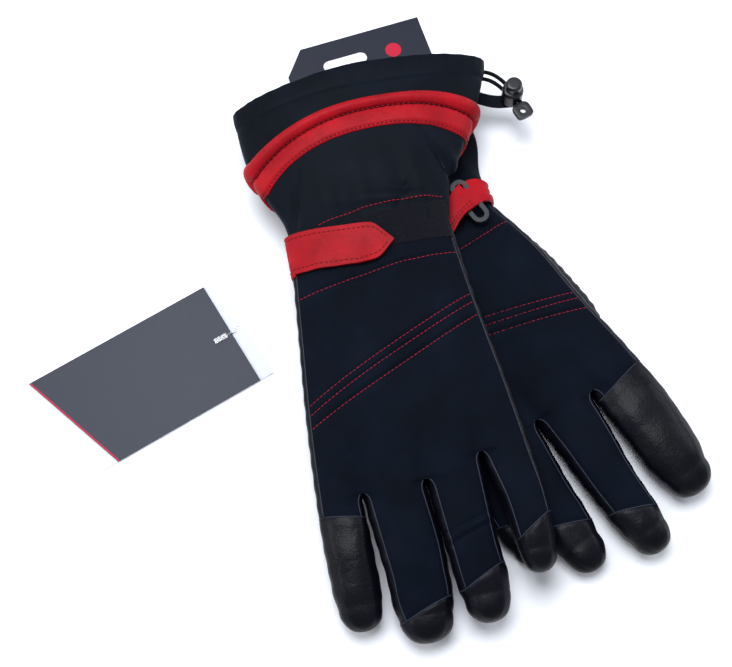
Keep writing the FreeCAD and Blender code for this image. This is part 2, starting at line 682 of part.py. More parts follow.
def cord_tab():
    """The flat end tab that both strands run into, with a round hole."""
    body = make_body("cord_tab")
    length, half = size("tab_length"), size("tab_width") / 2
    neck, round_off = 4.0, 2.5
    outline = [(0, -neck), (2.5, -half), (length - round_off, -half),
               ((length - 0.3 * round_off, -half + 0.3 * round_off), (length, -half + round_off)),
               (length, half - round_off),
               ((length - 0.3 * round_off, half - 0.3 * round_off), (length - round_off, half)),
               (2.5, half), (0, neck)]
    pad = body.newObject("PartDesign::Pad", "cord_tab_pad")
    pad.Profile = plan_sketch(body, 1, "cord_tab_outline", outline, 0.0)
    pad.setExpression("Length", "Sizes.tab_thickness")
    doc.recompute()
    hole = make_sketch(body, "cord_tab_hole", "XY_Plane", Placement())
    hole.addGeometry(Part.Circle(Vector(length - 4.6, 0, 0), Vector(0, 0, 1), size("tab_hole") / 2))
    pocket = body.newObject("PartDesign::Pocket", "cord_tab_pocket")
    pocket.Profile = hole
    pocket.Type = "ThroughAll"
    pocket.Reversed = True
    frame = toggle_placement(size("cord_height") - size("tab_thickness") / 2)
    reach = size("toggle_diameter") / 2 + size("tab_gap")
    body.Placement = frame.multiply(Placement(Vector(reach, 0, 0), Rotation()))


def toggle_tape():
    """A short fabric tape from the hem, passing under the toggle."""
    body = make_body("toggle_tape")
    root, end, half = size("tape_root"), size("tape_end"), size("tape_width") / 2
    sag = size("tape_sag")
    outline = [(root, -half + sag), ((root / 2, -half), (end, -half)), (end, half),
               ((root / 2, half), (root - 1.0, half + sag))]
    pad = body.newObject("PartDesign::Pad", "toggle_tape_pad")
    pad.Profile = plan_sketch(body, 1, "toggle_tape_outline", outline, 0.0)
    pad.setExpression("Length", "Sizes.tape_thickness")
    body.Placement = Placement(Vector(size("toggle_x") + size("frame_x"),
                                      size("toggle_y") + size("frame_y"), size("tape_height")),
                               Rotation())


# ---- cards ---------------------------------------------------------------------------------------
def card(name, outline, position, turn, height, holes=()):
    """A flat card padded from its outline, with round or slotted holes cut through."""
    body = make_body(name)
    pad = body.newObject("PartDesign::Pad", f"{name}_pad")
    pad.Profile = plan_sketch(body, 1, f"{name}_outline", outline, 0.0)
    pad.setExpression("Length", "Sizes.card_thickness")
    doc.recompute()
    for index, (x, y, length, width) in enumerate(holes):
        straight, half = (length - width) / 2, width / 2
        if straight > 0:
            sketch = plan_sketch(body, 1, f"{name}_hole_{index}",
                                 stadium((x, y), straight, half, False), 0.0)
        else:
            sketch = make_sketch(body, f"{name}_hole_{index}", "XY_Plane", Placement())
            sketch.addGeometry(Part.Circle(Vector(x, y, 0), Vector(0, 0, 1), half), False)
        pocket = body.newObject("PartDesign::Pocket", f"{name}_cut_{index}")
        pocket.Profile = sketch
        pocket.Type = "ThroughAll"
        pocket.Reversed = True
        doc.recompute()
    body.Placement = Placement(Vector(position[0] + size("frame_x"), position[1] + size("frame_y"),
                                      height), Rotation(Vector(0, 0, 1), turn))
    return body


def header_card():
    """The display card lying flat under the cuffs' mouths, with its hang slot."""
    across, down = size("header_cut_across"), size("header_cut_down")
    length, height = size("header_length"), size("header_height")
    outline = [(0, 0), (-across, -down), (-across, -height), (length, -height), (length, 0)]
    slot = (size("slot_across"), -size("slot_down"), size("slot_length"), size("slot_width"))
    card("header_card", outline, (size("header_x"), size("header_y")), size("header_turn"), 0.0,
         [slot])


def swing_tag():
    """A folded swing tag: the longer back leaf, the front leaf, and its loose plastic fastener."""
    length, height, cut = size("tag_length"), size("tag_height"), size("tag_cut_across")
    extra = size("back_leaf_extra")
    front = [(0, 0), (-length, 0), (-length + cut, -height), (0, -height)]
    back = [(extra, 0), (-length - extra, 0), (-length - extra + cut, -height), (extra, -height)]
    place = (size("tag_x"), size("tag_y"))
    hole_x, hole_y = extra / 2, -33.0
    card("tag_back_leaf", back, place, size("tag_turn"), 0.0,
         [(hole_x, hole_y, size("tag_hole"), size("tag_hole"))])
    leaf_height = size("card_thickness") + size("tag_leaf_gap")
    card("tag_front_leaf", front, place, size("tag_turn"), leaf_height)
    tag_fastener(place, hole_x, hole_y, leaf_height + size("card_thickness"))


def tag_fastener(place, hole_x, hole_y, height):
    """The clear plastic paddle on the front leaf, and its filament reaching over the hole."""
    paddle, width = size("fastener_paddle"), size("fastener_width")
    thread = size("fastener_filament")
    plate = doc.addObject("Part::Box", "fastener_plate")
    plate.setExpression("Length", "Sizes.fastener_paddle")
    plate.setExpression("Width", "Sizes.fastener_width")
    plate.Height = thread
    plate.Placement.Base = Vector(-paddle - 3.0, -width / 2, 0)
    filament = doc.addObject("Part::Cylinder", "fastener_thread")
    filament.setExpression("Radius", "Sizes.fastener_filament / 2")
    filament.Height = 3.5 + hole_x
    filament.Placement = Placement(Vector(-3.5, 0, thread / 2), Rotation(Vector(0, 1, 0), 90))
    whole = doc.addObject("Part::MultiFuse", "tag_fastener")
    whole.Shapes = [plate, filament]
    whole.Label = "tag_fastener"
    turn = Rotation(Vector(0, 0, 1), size("tag_turn"))
    frame = Placement(Vector(place[0] + size("frame_x"), place[1] + size("frame_y"),
                             height + size("layer_gap")), turn)
    whole.Placement = frame.multiply(Placement(Vector(0, hole_y, 0), Rotation()))
    PARTS.append(whole)


# ---- the set -------------------------------------------------------------------------------------
def make_glove(glove):
    hand_shells(glove)
    lining(glove)
    thumb(glove)
    cuff_shell(glove)
    cuff_band(glove)
    wrist_strap(glove)
    for finger in glove.fingers:
        if glove.side == "left" or finger.name in FREE_RIGHT_FINGERS:
            finger_parts(glove, finger)
        else:
            tip = make_body(f"{glove.side}_{finger.name}_tip")
            finger_tip(glove, finger, tip, finger_stations(finger, glove))
            glove.place(tip)


def check_and_export():
    """Every object must be sound and every sub-part a valid solid before anything is written."""
    doc.recompute()
    for item in doc.Objects:
        if {"Invalid", "Error"} & set(item.State):
            raise RuntimeError(f"{item.Name} failed: {item.State}")
    os.makedirs("parts", exist_ok=True)
    for part in PARTS:
        shape = part.Shape
        if shape.isNull() or not shape.isValid() or len(shape.Solids) != 1:
            raise RuntimeError(f"{part.Label}: not one valid solid ({len(shape.Solids)} solids)")
    for part in PARTS:
        part.Shape.exportStep(f"parts/{part.Label}.step")
    box = Part.makeCompound([part.Shape for part in PARTS]).BoundBox
    print(f"{len(PARTS)} sub-parts; X {box.XMin:.2f} {box.XMax:.2f} Y {box.YMin:.2f} {box.YMax:.2f}"
          f" Z {box.ZMin:.2f} {box.ZMax:.2f}")


make_glove(Glove("left", LEFT_HAND, LEFT_CUFF, LEFT_FINGERS))
make_glove(Glove("right", RIGHT_HAND, RIGHT_CUFF, RIGHT_FINGERS))
cord("drawcord_upper", UPPER_CORD_START, UPPER_CORD_BEND, 1)
cord("drawcord_lower", LOWER_CORD_START, LOWER_CORD_BEND, -1)
toggle()
cord_tab()
toggle_tape()
header_card()
swing_tag()
check_and_export()
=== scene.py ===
"""A pair of insulated gauntlet work gloves with their header card and swing tag, as sewn goods.

Every surface is worked out from the gloves' own measures: a table of sections along each hand and
cuff, and four fingers with their edges, floors and tops. Lengths are millimetres until `place` puts
them in the set's frame in metres.
"""
import math

import bpy
import numpy as np
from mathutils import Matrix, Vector


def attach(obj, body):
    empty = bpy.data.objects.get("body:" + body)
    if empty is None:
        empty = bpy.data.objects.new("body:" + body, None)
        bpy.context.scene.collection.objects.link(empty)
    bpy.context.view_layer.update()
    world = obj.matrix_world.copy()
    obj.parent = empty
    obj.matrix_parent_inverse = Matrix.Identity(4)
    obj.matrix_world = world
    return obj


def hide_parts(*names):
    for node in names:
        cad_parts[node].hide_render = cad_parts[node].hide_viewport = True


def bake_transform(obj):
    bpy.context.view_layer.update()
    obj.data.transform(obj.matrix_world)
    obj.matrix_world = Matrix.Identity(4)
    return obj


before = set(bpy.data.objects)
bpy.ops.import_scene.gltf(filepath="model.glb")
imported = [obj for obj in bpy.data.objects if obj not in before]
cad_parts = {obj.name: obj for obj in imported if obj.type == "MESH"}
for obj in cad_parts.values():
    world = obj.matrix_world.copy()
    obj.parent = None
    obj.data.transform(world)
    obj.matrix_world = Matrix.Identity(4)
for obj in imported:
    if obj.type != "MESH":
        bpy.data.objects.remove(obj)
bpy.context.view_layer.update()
MM = 0.001
ORIGIN_SHIFT = (5.8, -19.3)


# ---- small maths ---------------------------------------------------------------------------------
def smoothstep(x):
    x = np.clip(x, 0.0, 1.0)
    return x * x * (3 - 2 * x)


def smooth_curve(knots, values, x):
    """A curve through the knots: cubic between them, straight on beyond both ends."""
    knots, values, x = (np.asarray(item, float) for item in (knots, values, x))
    slopes = np.gradient(values, knots, axis=0)
    first = np.clip(np.searchsorted(knots, x) - 1, 0, len(knots) - 2)
    step = knots[first + 1] - knots[first]
    share = np.clip((x - knots[first]) / step, 0, 1)
    beyond = x - np.clip(x, knots[0], knots[-1])
    if values.ndim > 1:
        step, share, beyond = step[..., None], share[..., None], beyond[..., None]
    end_slope = np.where(beyond > 0, slopes[-1], slopes[0])
    return ((2 * share**3 - 3 * share**2 + 1) * values[first]
            + (share**3 - 2 * share**2 + share) * step * slopes[first]
            + (3 * share**2 - 2 * share**3) * values[first + 1]
            + (share**3 - share**2) * step * slopes[first + 1] + beyond * end_slope)


def bump(distance, width):
    """A round ridge, 1 on its line and fading over its width."""
    return np.exp(-(distance / width) ** 2)


def signed_power(x, power):
    return np.sign(x) * np.abs(x) ** power


def unit(vectors):
    return vectors / np.maximum(np.linalg.norm(vectors, axis=-1, keepdims=True), 1e-12)


def square_to(surface, first, second, step=0.3):
    """The outward normals of surface(first, second), from its rise to both sides of each point."""
    across = surface(first + step, second) - surface(first - step, second)
    onward = surface(first, second + step) - surface(first, second - step)
    return unit(np.cross(across, onward))


# ---- a glove's body ------------------------------------------------------------------------------
class Glove:
    """One glove. Along runs from the wrist to the fingertips, u across from thumb to little side."""

    ROUNDNESS = 2.8
    LEAST_HEIGHT = 0.1

    def __init__(self, side, wrist, turn, sections, seams):
        self.side = side
        self.sign = 1 if side == "left" else -1
        self.wrist = (wrist[0] + ORIGIN_SHIFT[0], wrist[1] + ORIGIN_SHIFT[1])
        self.turn = math.radians(turn)
        self.alongs = [row[0] for row in sections]
        self.sections = [row[1:] for row in sections]
        self.seams = seams

    def at(self, along):
        """The section's measures at a place along, each in its own row."""
        return np.moveaxis(smooth_curve(self.alongs, self.sections, along), -1, 0)

    def place(self, u, along, z):
        """Section coordinates to the set's frame in metres, bent with the cuff and turned."""
        rows = self.at(along)
        bend, shift = np.radians(rows[7]), rows[8]
        x = self.sign * (shift + u * np.cos(bend))
        y = -(along - self.sign * u * np.sin(bend))
        return np.stack([self.wrist[0] + math.cos(self.turn) * x - math.sin(self.turn) * y,
                         self.wrist[1] + math.sin(self.turn) * x + math.cos(self.turn) * y,
                         np.broadcast_to(np.maximum(z, self.LEAST_HEIGHT), np.shape(x))], -1) * MM

    def height(self, u, along, way):
        """The back (way 1) or the floor (way -1): a domed section, sunk along its stitch lines."""
        thumb, little, thumb_floor, little_floor, thumb_top, little_top, crown = self.at(along)[:7]
        x = np.clip(2 * (u - thumb) / (little - thumb) - 1, -1, 1)
        share = (1 + x) / 2
        floor = thumb_floor + share * (little_floor - thumb_floor)
        top = thumb_top + share * (little_top - thumb_top)
        dome = (1 - np.abs(x) ** self.ROUNDNESS) ** (1 / self.ROUNDNESS)
        z = (floor + top) / 2 + way * dome * (top - floor) / 2
        if way > 0:
            z = z + crown * (1 - x * x) + self.relief(u, along) * dome
        return z

    def relief(self, u, along):
        """Padding between the stitch lines: each line is pulled in, with soft swells beside it."""
        sunk = 0.0
        for knots, values in self.seams:
            away = along - smooth_curve(knots, values, u)
            sunk = sunk + 0.75 * bump(away, 1.3) - 0.35 * bump(np.abs(away) - 4.0, 3.0)
        swell = (0.45 * np.sin(u * 0.062 + 0.6) * np.sin(along * 0.047 + 0.4)
                 + 0.3 * np.sin(u * 0.11 + along * 0.05))
        gather = bump(along - 17, 9) * (0.8 * np.sin(u * 0.19 + 0.5) + 0.5 * np.sin(u * 0.41 + 2))
        return swell + 0.6 * gather - sunk

    def angle_of(self, u, along):
        """Where a point of the back lies round its section: 0 at the little edge, pi at the thumb's."""
        thumb, little = self.at(along)[:2]
        x = np.clip(2 * (u - thumb) / (little - thumb) - 1, -1, 1)
        return np.arccos(signed_power(x, self.ROUNDNESS / 2))

    def loop(self, angle, along):
        """The section as a closed loop: both half widths and half heights to the 2/n power."""
        thumb, little, thumb_floor, little_floor, thumb_top, little_top, crown = self.at(along)[:7]
        x = signed_power(np.cos(angle), 2 / self.ROUNDNESS)
        rise = signed_power(np.sin(angle), 2 / self.ROUNDNESS)
        share = (1 + x) / 2
        floor = thumb_floor + share * (little_floor - thumb_floor)
        top = thumb_top + share * (little_top - thumb_top)
        u = thumb + share * (little - thumb)
        z = ((floor + top) / 2 + rise * (top - floor) / 2
             + np.maximum(rise, 0) * (crown * (1 - x * x) + self.relief(u, along)))
        return self.place(u, along, z)

    def draped(self, u, along, lift=0.0):
        """A point on the back at a place in plan, raised square to the surface."""
        def back(across, onward):
            return self.place(across, onward, self.height(across, onward, 1))
        normal = square_to(back, u, along) * self.sign
        normal = normal * np.where(normal[..., 2:] < 0, -1, 1)
        return back(u, along) + np.asarray(lift)[..., None] * MM * normal, normal

    def wrapped(self, angle, along, lift=0.0):
        """A point round the section, raised square to the surface."""
        normal = square_to(self.loop, angle, along, 0.02)
        outward = self.loop(angle, along)
        centre = self.place(np.mean(self.at(along)[:2], 0), along,
                            np.mean(self.at(along)[2:6], 0))
        normal = normal * np.sign(np.sum(normal * (outward - centre), -1, keepdims=True))
        return outward + np.asarray(lift)[..., None] * MM * normal, normal


# ---- fingers -------------------------------------------------------------------------------------
class Finger:
    """One finger from the wrist line to its tip, as a strip of the back, a floor and two walls.

    rows: (thumb edge, little edge, floor, top) at the knuckle, middle, near the tip and at the end.
    crotches: where the walls to the neighbours begin, thumb side first; None is an outer edge.
    """

    ROUNDNESS = 2.35
    SEAM_INSET = 3.3
    NOSE = 6.0

    def __init__(self, glove, name, knuckle, rows, alongs, crotches, seam, slant):
        self.glove, self.name = glove, name
        self.crotches = crotches
        self.seam, self.slant = seam, slant
        self.end = alongs[-1] + 1.5
        self.near = alongs[-2]
        hand_alongs = [2.0, 0.35 * knuckle, 0.72 * knuckle]
        thumb, little = glove.at(knuckle)[:2]
        shares = [(edge - thumb) / (little - thumb) for edge in rows[0][:2]]
        early = []
        for along in hand_alongs:
            hand = glove.at(along)
            edges = [hand[0] + share * (hand[1] - hand[0]) for share in shares]
            middle = sum(shares) / 2
            early.append(edges + [hand[2] + middle * (hand[3] - hand[2]),
                                  hand[4] + middle * (hand[5] - hand[4])])
        self.alongs = hand_alongs + [knuckle] + alongs
        self.rows = early + [list(row) for row in rows]
        self.neighbours = [None, None]

    def nose(self, side, along):
        """How far the wall has opened beside the strip: a quarter round from the crotch on."""
        if self.crotches[side] is None:
            return np.ones_like(along)
        share = np.clip((along - self.crotches[side]) / self.NOSE, 0, 1)
        return np.sqrt(1 - (1 - share) ** 2)

    def raw(self, along):
        """The finger's own edges, floor and top, which stay as they are beyond the near row."""
        return np.moveaxis(smooth_curve(self.alongs, self.rows, np.minimum(along, self.near)), -1, 0)

    def edge(self, side, along):
        """A side's edge: shared with the neighbour before the crotch, the finger's own after it."""
        own = self.raw(along)[side]
        other = self.neighbours[side]
        if other is None:
            return own
        middle = (own + other.raw(along)[1 - side]) / 2
        return middle + self.nose(side, along) * (own - middle)

    def body(self, along):
        """Centre, half width, middle height and half height, closing round at the tip."""
        thumb, little = self.edge(0, along), self.edge(1, along)
        _, _, floor, top = self.raw(along)
        share = np.clip((along - self.near) / (self.end - self.near), 0, 1)
        closing = (1 - share ** 2.25) ** (1 / 2.25)
        centre = (thumb + little) / 2
        return centre, (little - thumb) / 2 * closing, (floor + top) / 2, (top - floor) / 2 * closing

    def borders(self, along):
        """Where the back strip's two edges lie across the glove."""
        centre, half, _, _ = self.body(along)
        inset = np.minimum(self.SEAM_INSET, 0.22 * half)
        return (centre - half + self.nose(0, along) * inset,
                centre + half - self.nose(1, along) * inset)

    def strip(self, s, along, way):
        """The back or the floor at s from -1 to 1 across: the hand's dome turning into its own."""
        left, right = self.borders(along)
        u = left + (s + 1) / 2 * (right - left)
        centre, half, middle, tall = self.body(along)
        x = np.clip((u - centre) / np.maximum(half, 1e-6), -1, 1)
        own = middle + way * tall * (1 - np.abs(x) ** self.ROUNDNESS) ** (1 / self.ROUNDNESS)
        starts = [self.crotches[side] if self.crotches[side] is not None
                  else self.crotches[1 - side] for side in (0, 1)]
        start = starts[0] + (s + 1) / 2 * (starts[1] - starts[0])
        share = smoothstep((along - start) / 30)
        z = (1 - share) * self.glove.height(u, along, way) + share * own
        fade = np.clip(half / 6, 0, 1)
        for side, border in ((0, left), (1, right)):
            away = np.abs(u - border)
            if self.crotches[side] is not None:
                valley = smoothstep((along - self.crotches[side] + 34) / 34)
                open_share = self.nose(side, along)
                z = z - way * valley * (1 - open_share) * 2.2 * bump(away, 5.0)
                z = z - way * fade * open_share * 0.55 * bump(away, 1.1)
                z = z - way * valley * (1 - smoothstep((along - self.crotches[side]) / 26)) \
                    * open_share * 2.2 * bump(away, 5.0)
            else:
                z = z - way * fade * 0.55 * bump(away, 1.1)
        if way > 0:
            z = z + fade * self.detail(u, x, along)
        return self.glove.place(u, along, z)

    def detail(self, u, x, along):
        """The pulled-in seam before the leather cap, and soft waves on the back."""
        away = along - self.cut(x)
        wave = 0.22 * np.sin(along * 0.13 + u * 0.2) + 0.15 * np.sin(along * 0.31 - u * 0.12)
        extra = 0.0
        if self.name == "ring" and self.glove.side == "left":
            fold = along - 168.5 + 4.4 * x
            extra = 0.9 * bump(fold, 1.5) - 0.7 * bump(fold - 2.9, 1.3) - 0.6 * bump(fold + 2.7, 1.3)
        return wave * smoothstep((along - 130) / 20) - 0.6 * bump(away, 1.0) + extra

    def cut(self, x):
        """Where the cap's slanted seam crosses, at x from -1 to 1 across the finger."""
        return self.seam + self.slant * x

    def wall(self, side, q, along):
        """A side wall, q from 0 at the back's seam to 1 at the palm's, bulging past both."""
        way = 2 * side - 1
        s = np.full_like(along, way)
        centre, half, middle, tall = self.body(along)
        border = self.borders(along)[side]
        x = np.clip(np.abs(border - centre) / np.maximum(half, 1e-6), 0, 1)
        widest = np.arccos(x ** (self.ROUNDNESS / 2))
        angle = (1 - 2 * q) * widest
        u = centre + way * half * np.cos(angle) ** (2 / self.ROUNDNESS)
        z = middle + tall * signed_power(np.sin(angle), 2 / self.ROUNDNESS)
        edge_z = tall * np.sin(widest) ** (2 / self.ROUNDNESS)
        top = self.strip(s, along, 1)[..., 2] / MM - middle - edge_z
        low = self.strip(s, along, -1)[..., 2] / MM - middle + edge_z
        bulge = 0.35 * np.sin(math.pi * q) * np.sin(along * 0.55 + 3 * side) * np.clip(half / 8, 0, 1)
        return self.glove.place(u + way * bulge * 0.5, along, z + (1 - q) * top + q * low)


def finger_point(finger, k, along):
    """The whole loop: k 0..1 the back, 1..2 the little wall, 2..3 the floor, 3..4 the thumb wall."""
    k = np.mod(k, 4.0)
    part = k % 1.0
    choices = [finger.strip(2 * part - 1, along, 1), finger.wall(1, part, along),
               finger.strip(1 - 2 * part, along, -1), finger.wall(0, 1 - part, along)]
    which = np.floor(k).astype(int)[..., None]
    return np.choose(which, choices)


# ---- meshes --------------------------------------------------------------------------------------
def grid_faces(rows, columns, wrap):
    """Four-sided faces over a grid of points; wrap joins the last column to the first."""
    index = np.arange(rows * columns).reshape(rows, columns)
    after = np.roll(index, -1, 1) if wrap else index[:, 1:]
    here = index if wrap else index[:, :-1]
    return np.stack([here[:-1], after[:-1], after[1:], here[1:]], -1).reshape(-1, 4)


class Cloth:
    """A piece made of grids of points, each with its normals and a wall on its inner side."""

    def __init__(self):
        self.points, self.faces, self.normals, self.uvs = [], [], [], []
        self.count = 0

    def add(self, points, normals, wall=0.0, wrap=False, uv=None):
        """points (rows, columns, 3). The wall is a copy sunk inwards, with rims at open edges."""
        rows, columns = points.shape[:2]
        faces = grid_faces(rows, columns, wrap)
        flat, outward = points.reshape(-1, 3), normals.reshape(-1, 3)
        corner = flat[faces]
        facing = np.cross(corner[:, 2] - corner[:, 0], corner[:, 3] - corner[:, 1])
        if np.sum(facing * outward[faces].mean(1)) < 0:
            faces = faces[:, ::-1]
        if uv is None:
            along = np.cumsum(np.r_[0, np.linalg.norm(np.diff(points, axis=0), axis=2).mean(1)])
            across = np.cumsum(np.r_[0, np.linalg.norm(np.diff(points, axis=1), axis=2).mean(0)])
            uv = np.stack(np.broadcast_arrays(across[None, :], along[:, None]), -1)
        uv = uv.reshape(-1, 2)
        self._take(flat, faces, outward[faces], uv)
        if wall:
            inner = flat - outward * wall * MM
            self._take(inner, faces[:, ::-1], -outward[faces[:, ::-1]], uv)
            index = np.arange(rows * columns).reshape(rows, columns)
            rims = [index[0], index[-1][::-1]]
            if not wrap:
                rims += [index[:, -1], index[:, 0][::-1]]
            for rim in rims:
                if wrap:
                    rim = np.r_[rim, rim[0]]
                quads = np.stack([rim[:-1], rim[1:], rim[1:] + len(flat), rim[:-1] + len(flat)], -1)
                both = np.r_[flat, inner]
                edge = both[quads]
                square = np.cross(edge[:, 2] - edge[:, 0], edge[:, 3] - edge[:, 1])
                middle = flat.mean(0)
                if np.sum(square * (edge.mean(1) - middle)) < 0:
                    quads, square = quads[:, ::-1], -square
                self._take(both[quads].reshape(-1, 3), np.arange(quads.size).reshape(-1, 4),
                           np.repeat(unit(square)[:, None], 4, 1),
                           np.r_[uv, uv][quads].reshape(-1, 2))

    def _take(self, points, faces, loop_normals, uv):
        """Stores points and faces; normals and uv go with each corner of each face."""
        self.points.append(points)
        self.faces.append(faces + self.count)
        self.normals.append(loop_normals.reshape(-1, 3))
        self.uvs.append(uv[faces].reshape(-1, 2))
        self.count += len(points)

    def finish(self, name, material):
        """The object made of everything stored, with the worked-out normals."""
        points, faces = np.concatenate(self.points), np.concatenate(self.faces)
        mesh = bpy.data.meshes.new(name)
        mesh.from_pydata(points.tolist(), [], faces.tolist())
        mesh.uv_layers.new(name="cut").data.foreach_set(
            "uv", np.concatenate(self.uvs).astype(np.float32).ravel())
        mesh.shade_smooth()
        mesh.normals_split_custom_set(np.concatenate(self.normals).tolist())
        piece = bpy.data.objects.new(name, mesh)
        bpy.context.scene.collection.objects.link(piece)
        mesh.materials.append(material)
        return piece


def away_from(points, normals, centre):
    """Turns a grid's normals so that on the whole they point away from a centre."""
    if np.sum(normals * (points - centre)) < 0:
        return -normals
    return normals


def tube(path, radius, sides=8):
    """A round profile carried along a path of points (n, 3), in metres."""
    path = np.asarray(path, float)
    tangent = unit(np.gradient(path, axis=0))
    up = np.where(np.abs(tangent[:, 2:]) > 0.95, [[1.0, 0, 0]], [[0, 0, 1.0]])
    side = unit(np.cross(tangent, up))
    over = np.cross(side, tangent)
    angle = np.linspace(0, 2 * math.pi, sides, endpoint=False)
    normals = side[:, None] * np.cos(angle)[None, :, None] + over[:, None] * np.sin(angle)[None, :, None]
    thick = np.broadcast_to(np.asarray(radius, float), (len(path),)).copy()
    thick[[0, -1]] = 1e-6
    return path[:, None] + normals * thick[:, None, None], normals


def stitches(path, normals, length=1.9, gap=0.6, width=0.19, height=0.14, slant=0.0):
    """Separate lock stitches along a path: each a small rounded bead lying on the cloth."""
    run = np.r_[0, np.cumsum(np.linalg.norm(np.diff(path, axis=0), axis=1))] / MM
    count = max(int(run[-1] / (length + gap)), 1)
    centres = (np.arange(count) + 0.5) * run[-1] / count
    def along_path(values, where):
        return np.stack([np.interp(where, run, values[:, axis]) for axis in range(3)], -1)
    ends = [along_path(path, centres + way * length / 2) for way in (-1, 1)]
    middle, up = (ends[0] + ends[1]) / 2, unit(along_path(normals, centres))
    lengthwise = unit(ends[1] - ends[0])
    side = unit(np.cross(lengthwise, up))
    lengthwise = unit(lengthwise + slant * side)
    side = unit(np.cross(lengthwise, up))
    v = np.linspace(0, math.pi, 6)[:, None]
    w = np.linspace(0, 2 * math.pi, 7)[None, :-1]
    bead = np.stack(np.broadcast_arrays(-np.cos(v) * length / 2,
                                        signed_power(np.sin(v), 0.5) * np.cos(w) * width,
                                        signed_power(np.sin(v), 0.5) * np.sin(w) * height), -1) * MM
    return (middle[:, None, None] + bead[None, ..., :1] * lengthwise[:, None, None]
            + bead[None, ..., 1:2] * side[:, None, None] + bead[None, ..., 2:] * up[:, None, None])


def stitch_piece(name, lines, material):
    """One object of all the stitches on several (path, normals) lines."""
    beads = np.concatenate([stitches(*line) for line in lines])
    count, rows, columns = beads.shape[:3]
    one = grid_faces(rows, columns, True)
    faces = (one[None] + (np.arange(count) * rows * columns)[:, None, None]).reshape(-1, 4)
    mesh = bpy.data.meshes.new(name)
    mesh.from_pydata(beads.reshape(-1, 3).tolist(), [], faces[:, ::-1].tolist())
    mesh.shade_smooth()
    piece = bpy.data.objects.new(name, mesh)
    bpy.context.scene.collection.objects.link(piece)
    mesh.materials.append(material)
    return piece


# ---- materials -----------------------------------------------------------------------------------
# How far apart a wave texture's ribs lie at scale 1, in its own units.
WAVE_SPACING = 0.314


def linear(hex_colour):
    """An sRGB hex colour as linear red, green, blue, alpha."""
    channels = [int(hex_colour[place:place + 2], 16) / 255 for place in (1, 3, 5)]
    return [c / 12.92 if c <= 0.04045 else ((c + 0.055) / 1.055) ** 2.4 for c in channels] + [1.0]


def add(tree, kind, settings=None, links=None):
    """Adds one shader node with its settings, on sockets or on the node, and its links."""
    node = tree.nodes.new(f"ShaderNode{kind}")
    for key, value in (settings or {}).items():
        if hasattr(node, key):
            setattr(node, key, value)
        else:
            node.inputs[key].default_value = value
    for key, source in (links or {}).items():
        tree.links.new(source, node.inputs[key])
    return node


def blank(name, settings):
    """A new material with only its main shader, whose constants are set on its own sockets."""
    material = bpy.data.materials.new(name)
    material.use_nodes = True
    tree = material.node_tree
    shader = tree.nodes["Principled BSDF"]
    for key, value in settings.items():
        shader.inputs[key].default_value = value
    return material, tree, shader


def two_tones(tree, shader, factor, dark, light, low=0.3, high=0.7):
    """Colours the shader between two tones by a pattern's value."""
    ramp = add(tree, "ValToRGB", links={"Fac": factor})
    ramp.color_ramp.elements[0].position, ramp.color_ramp.elements[1].position = low, high
    ramp.color_ramp.elements[0].color, ramp.color_ramp.elements[1].color = linear(dark), linear(light)
    tree.links.new(ramp.outputs["Color"], shader.inputs["Base Color"])
    return ramp


def woven(name, dark, light, thread, depth, roughness, sheen, tint):
    """Woven cloth: warp and weft ribs at the thread's spacing, over slow changes of tone."""
    material, tree, shader = blank(name, {
        "Roughness": roughness, "Sheen Weight": sheen, "Sheen Roughness": 0.45,
        "Sheen Tint": linear(tint), "Specular IOR Level": 0.07})
    uv = add(tree, "UVMap", {"uv_map": "cut"})
    place = add(tree, "TexCoord")
    ribs = [add(tree, "TexWave", {"wave_type": "BANDS", "bands_direction": axis,
                                  "Scale": 1 / (thread * MM) * WAVE_SPACING, "Distortion": 1.2,
                                  "Detail": 1.0, "Detail Scale": 0.6},
                links={"Vector": uv.outputs["UV"]}) for axis in ("X", "Y")]
    weave = add(tree, "Math", {"operation": "MULTIPLY"})
    tree.links.new(ribs[0].outputs["Fac"], weave.inputs[0])
    tree.links.new(ribs[1].outputs["Fac"], weave.inputs[1])
    tone = add(tree, "TexNoise", {"Scale": 38.0, "Detail": 3.0, "Roughness": 0.55},
               links={"Vector": place.outputs["Object"]})
    mixed = add(tree, "Mix", {"data_type": "FLOAT"})
    mixed.inputs[0].default_value = 0.3
    tree.links.new(tone.outputs["Fac"], mixed.inputs[2])
    tree.links.new(weave.outputs["Value"], mixed.inputs[3])
    two_tones(tree, shader, mixed.outputs[0], dark, light)
    slub = add(tree, "TexNoise", {"Scale": 900.0, "Detail": 2.0},
               links={"Vector": place.outputs["Object"]})
    crumple = add(tree, "TexNoise", {"Scale": 55.0, "Detail": 2.0, "Roughness": 0.45},
                  links={"Vector": place.outputs["Object"]})
    soft = add(tree, "Bump", {"Strength": 0.35, "Distance": 0.0011},
               links={"Height": crumple.outputs["Fac"]})
    fine = add(tree, "Bump", {"Strength": 0.3, "Distance": 0.00012},
               links={"Height": slub.outputs["Fac"], "Normal": soft.outputs["Normal"]})
    top = add(tree, "Bump", {"Strength": 0.5, "Distance": depth * MM},
              links={"Height": weave.outputs["Value"], "Normal": fine.outputs["Normal"]})
    tree.links.new(top.outputs["Normal"], shader.inputs["Normal"])
    return material


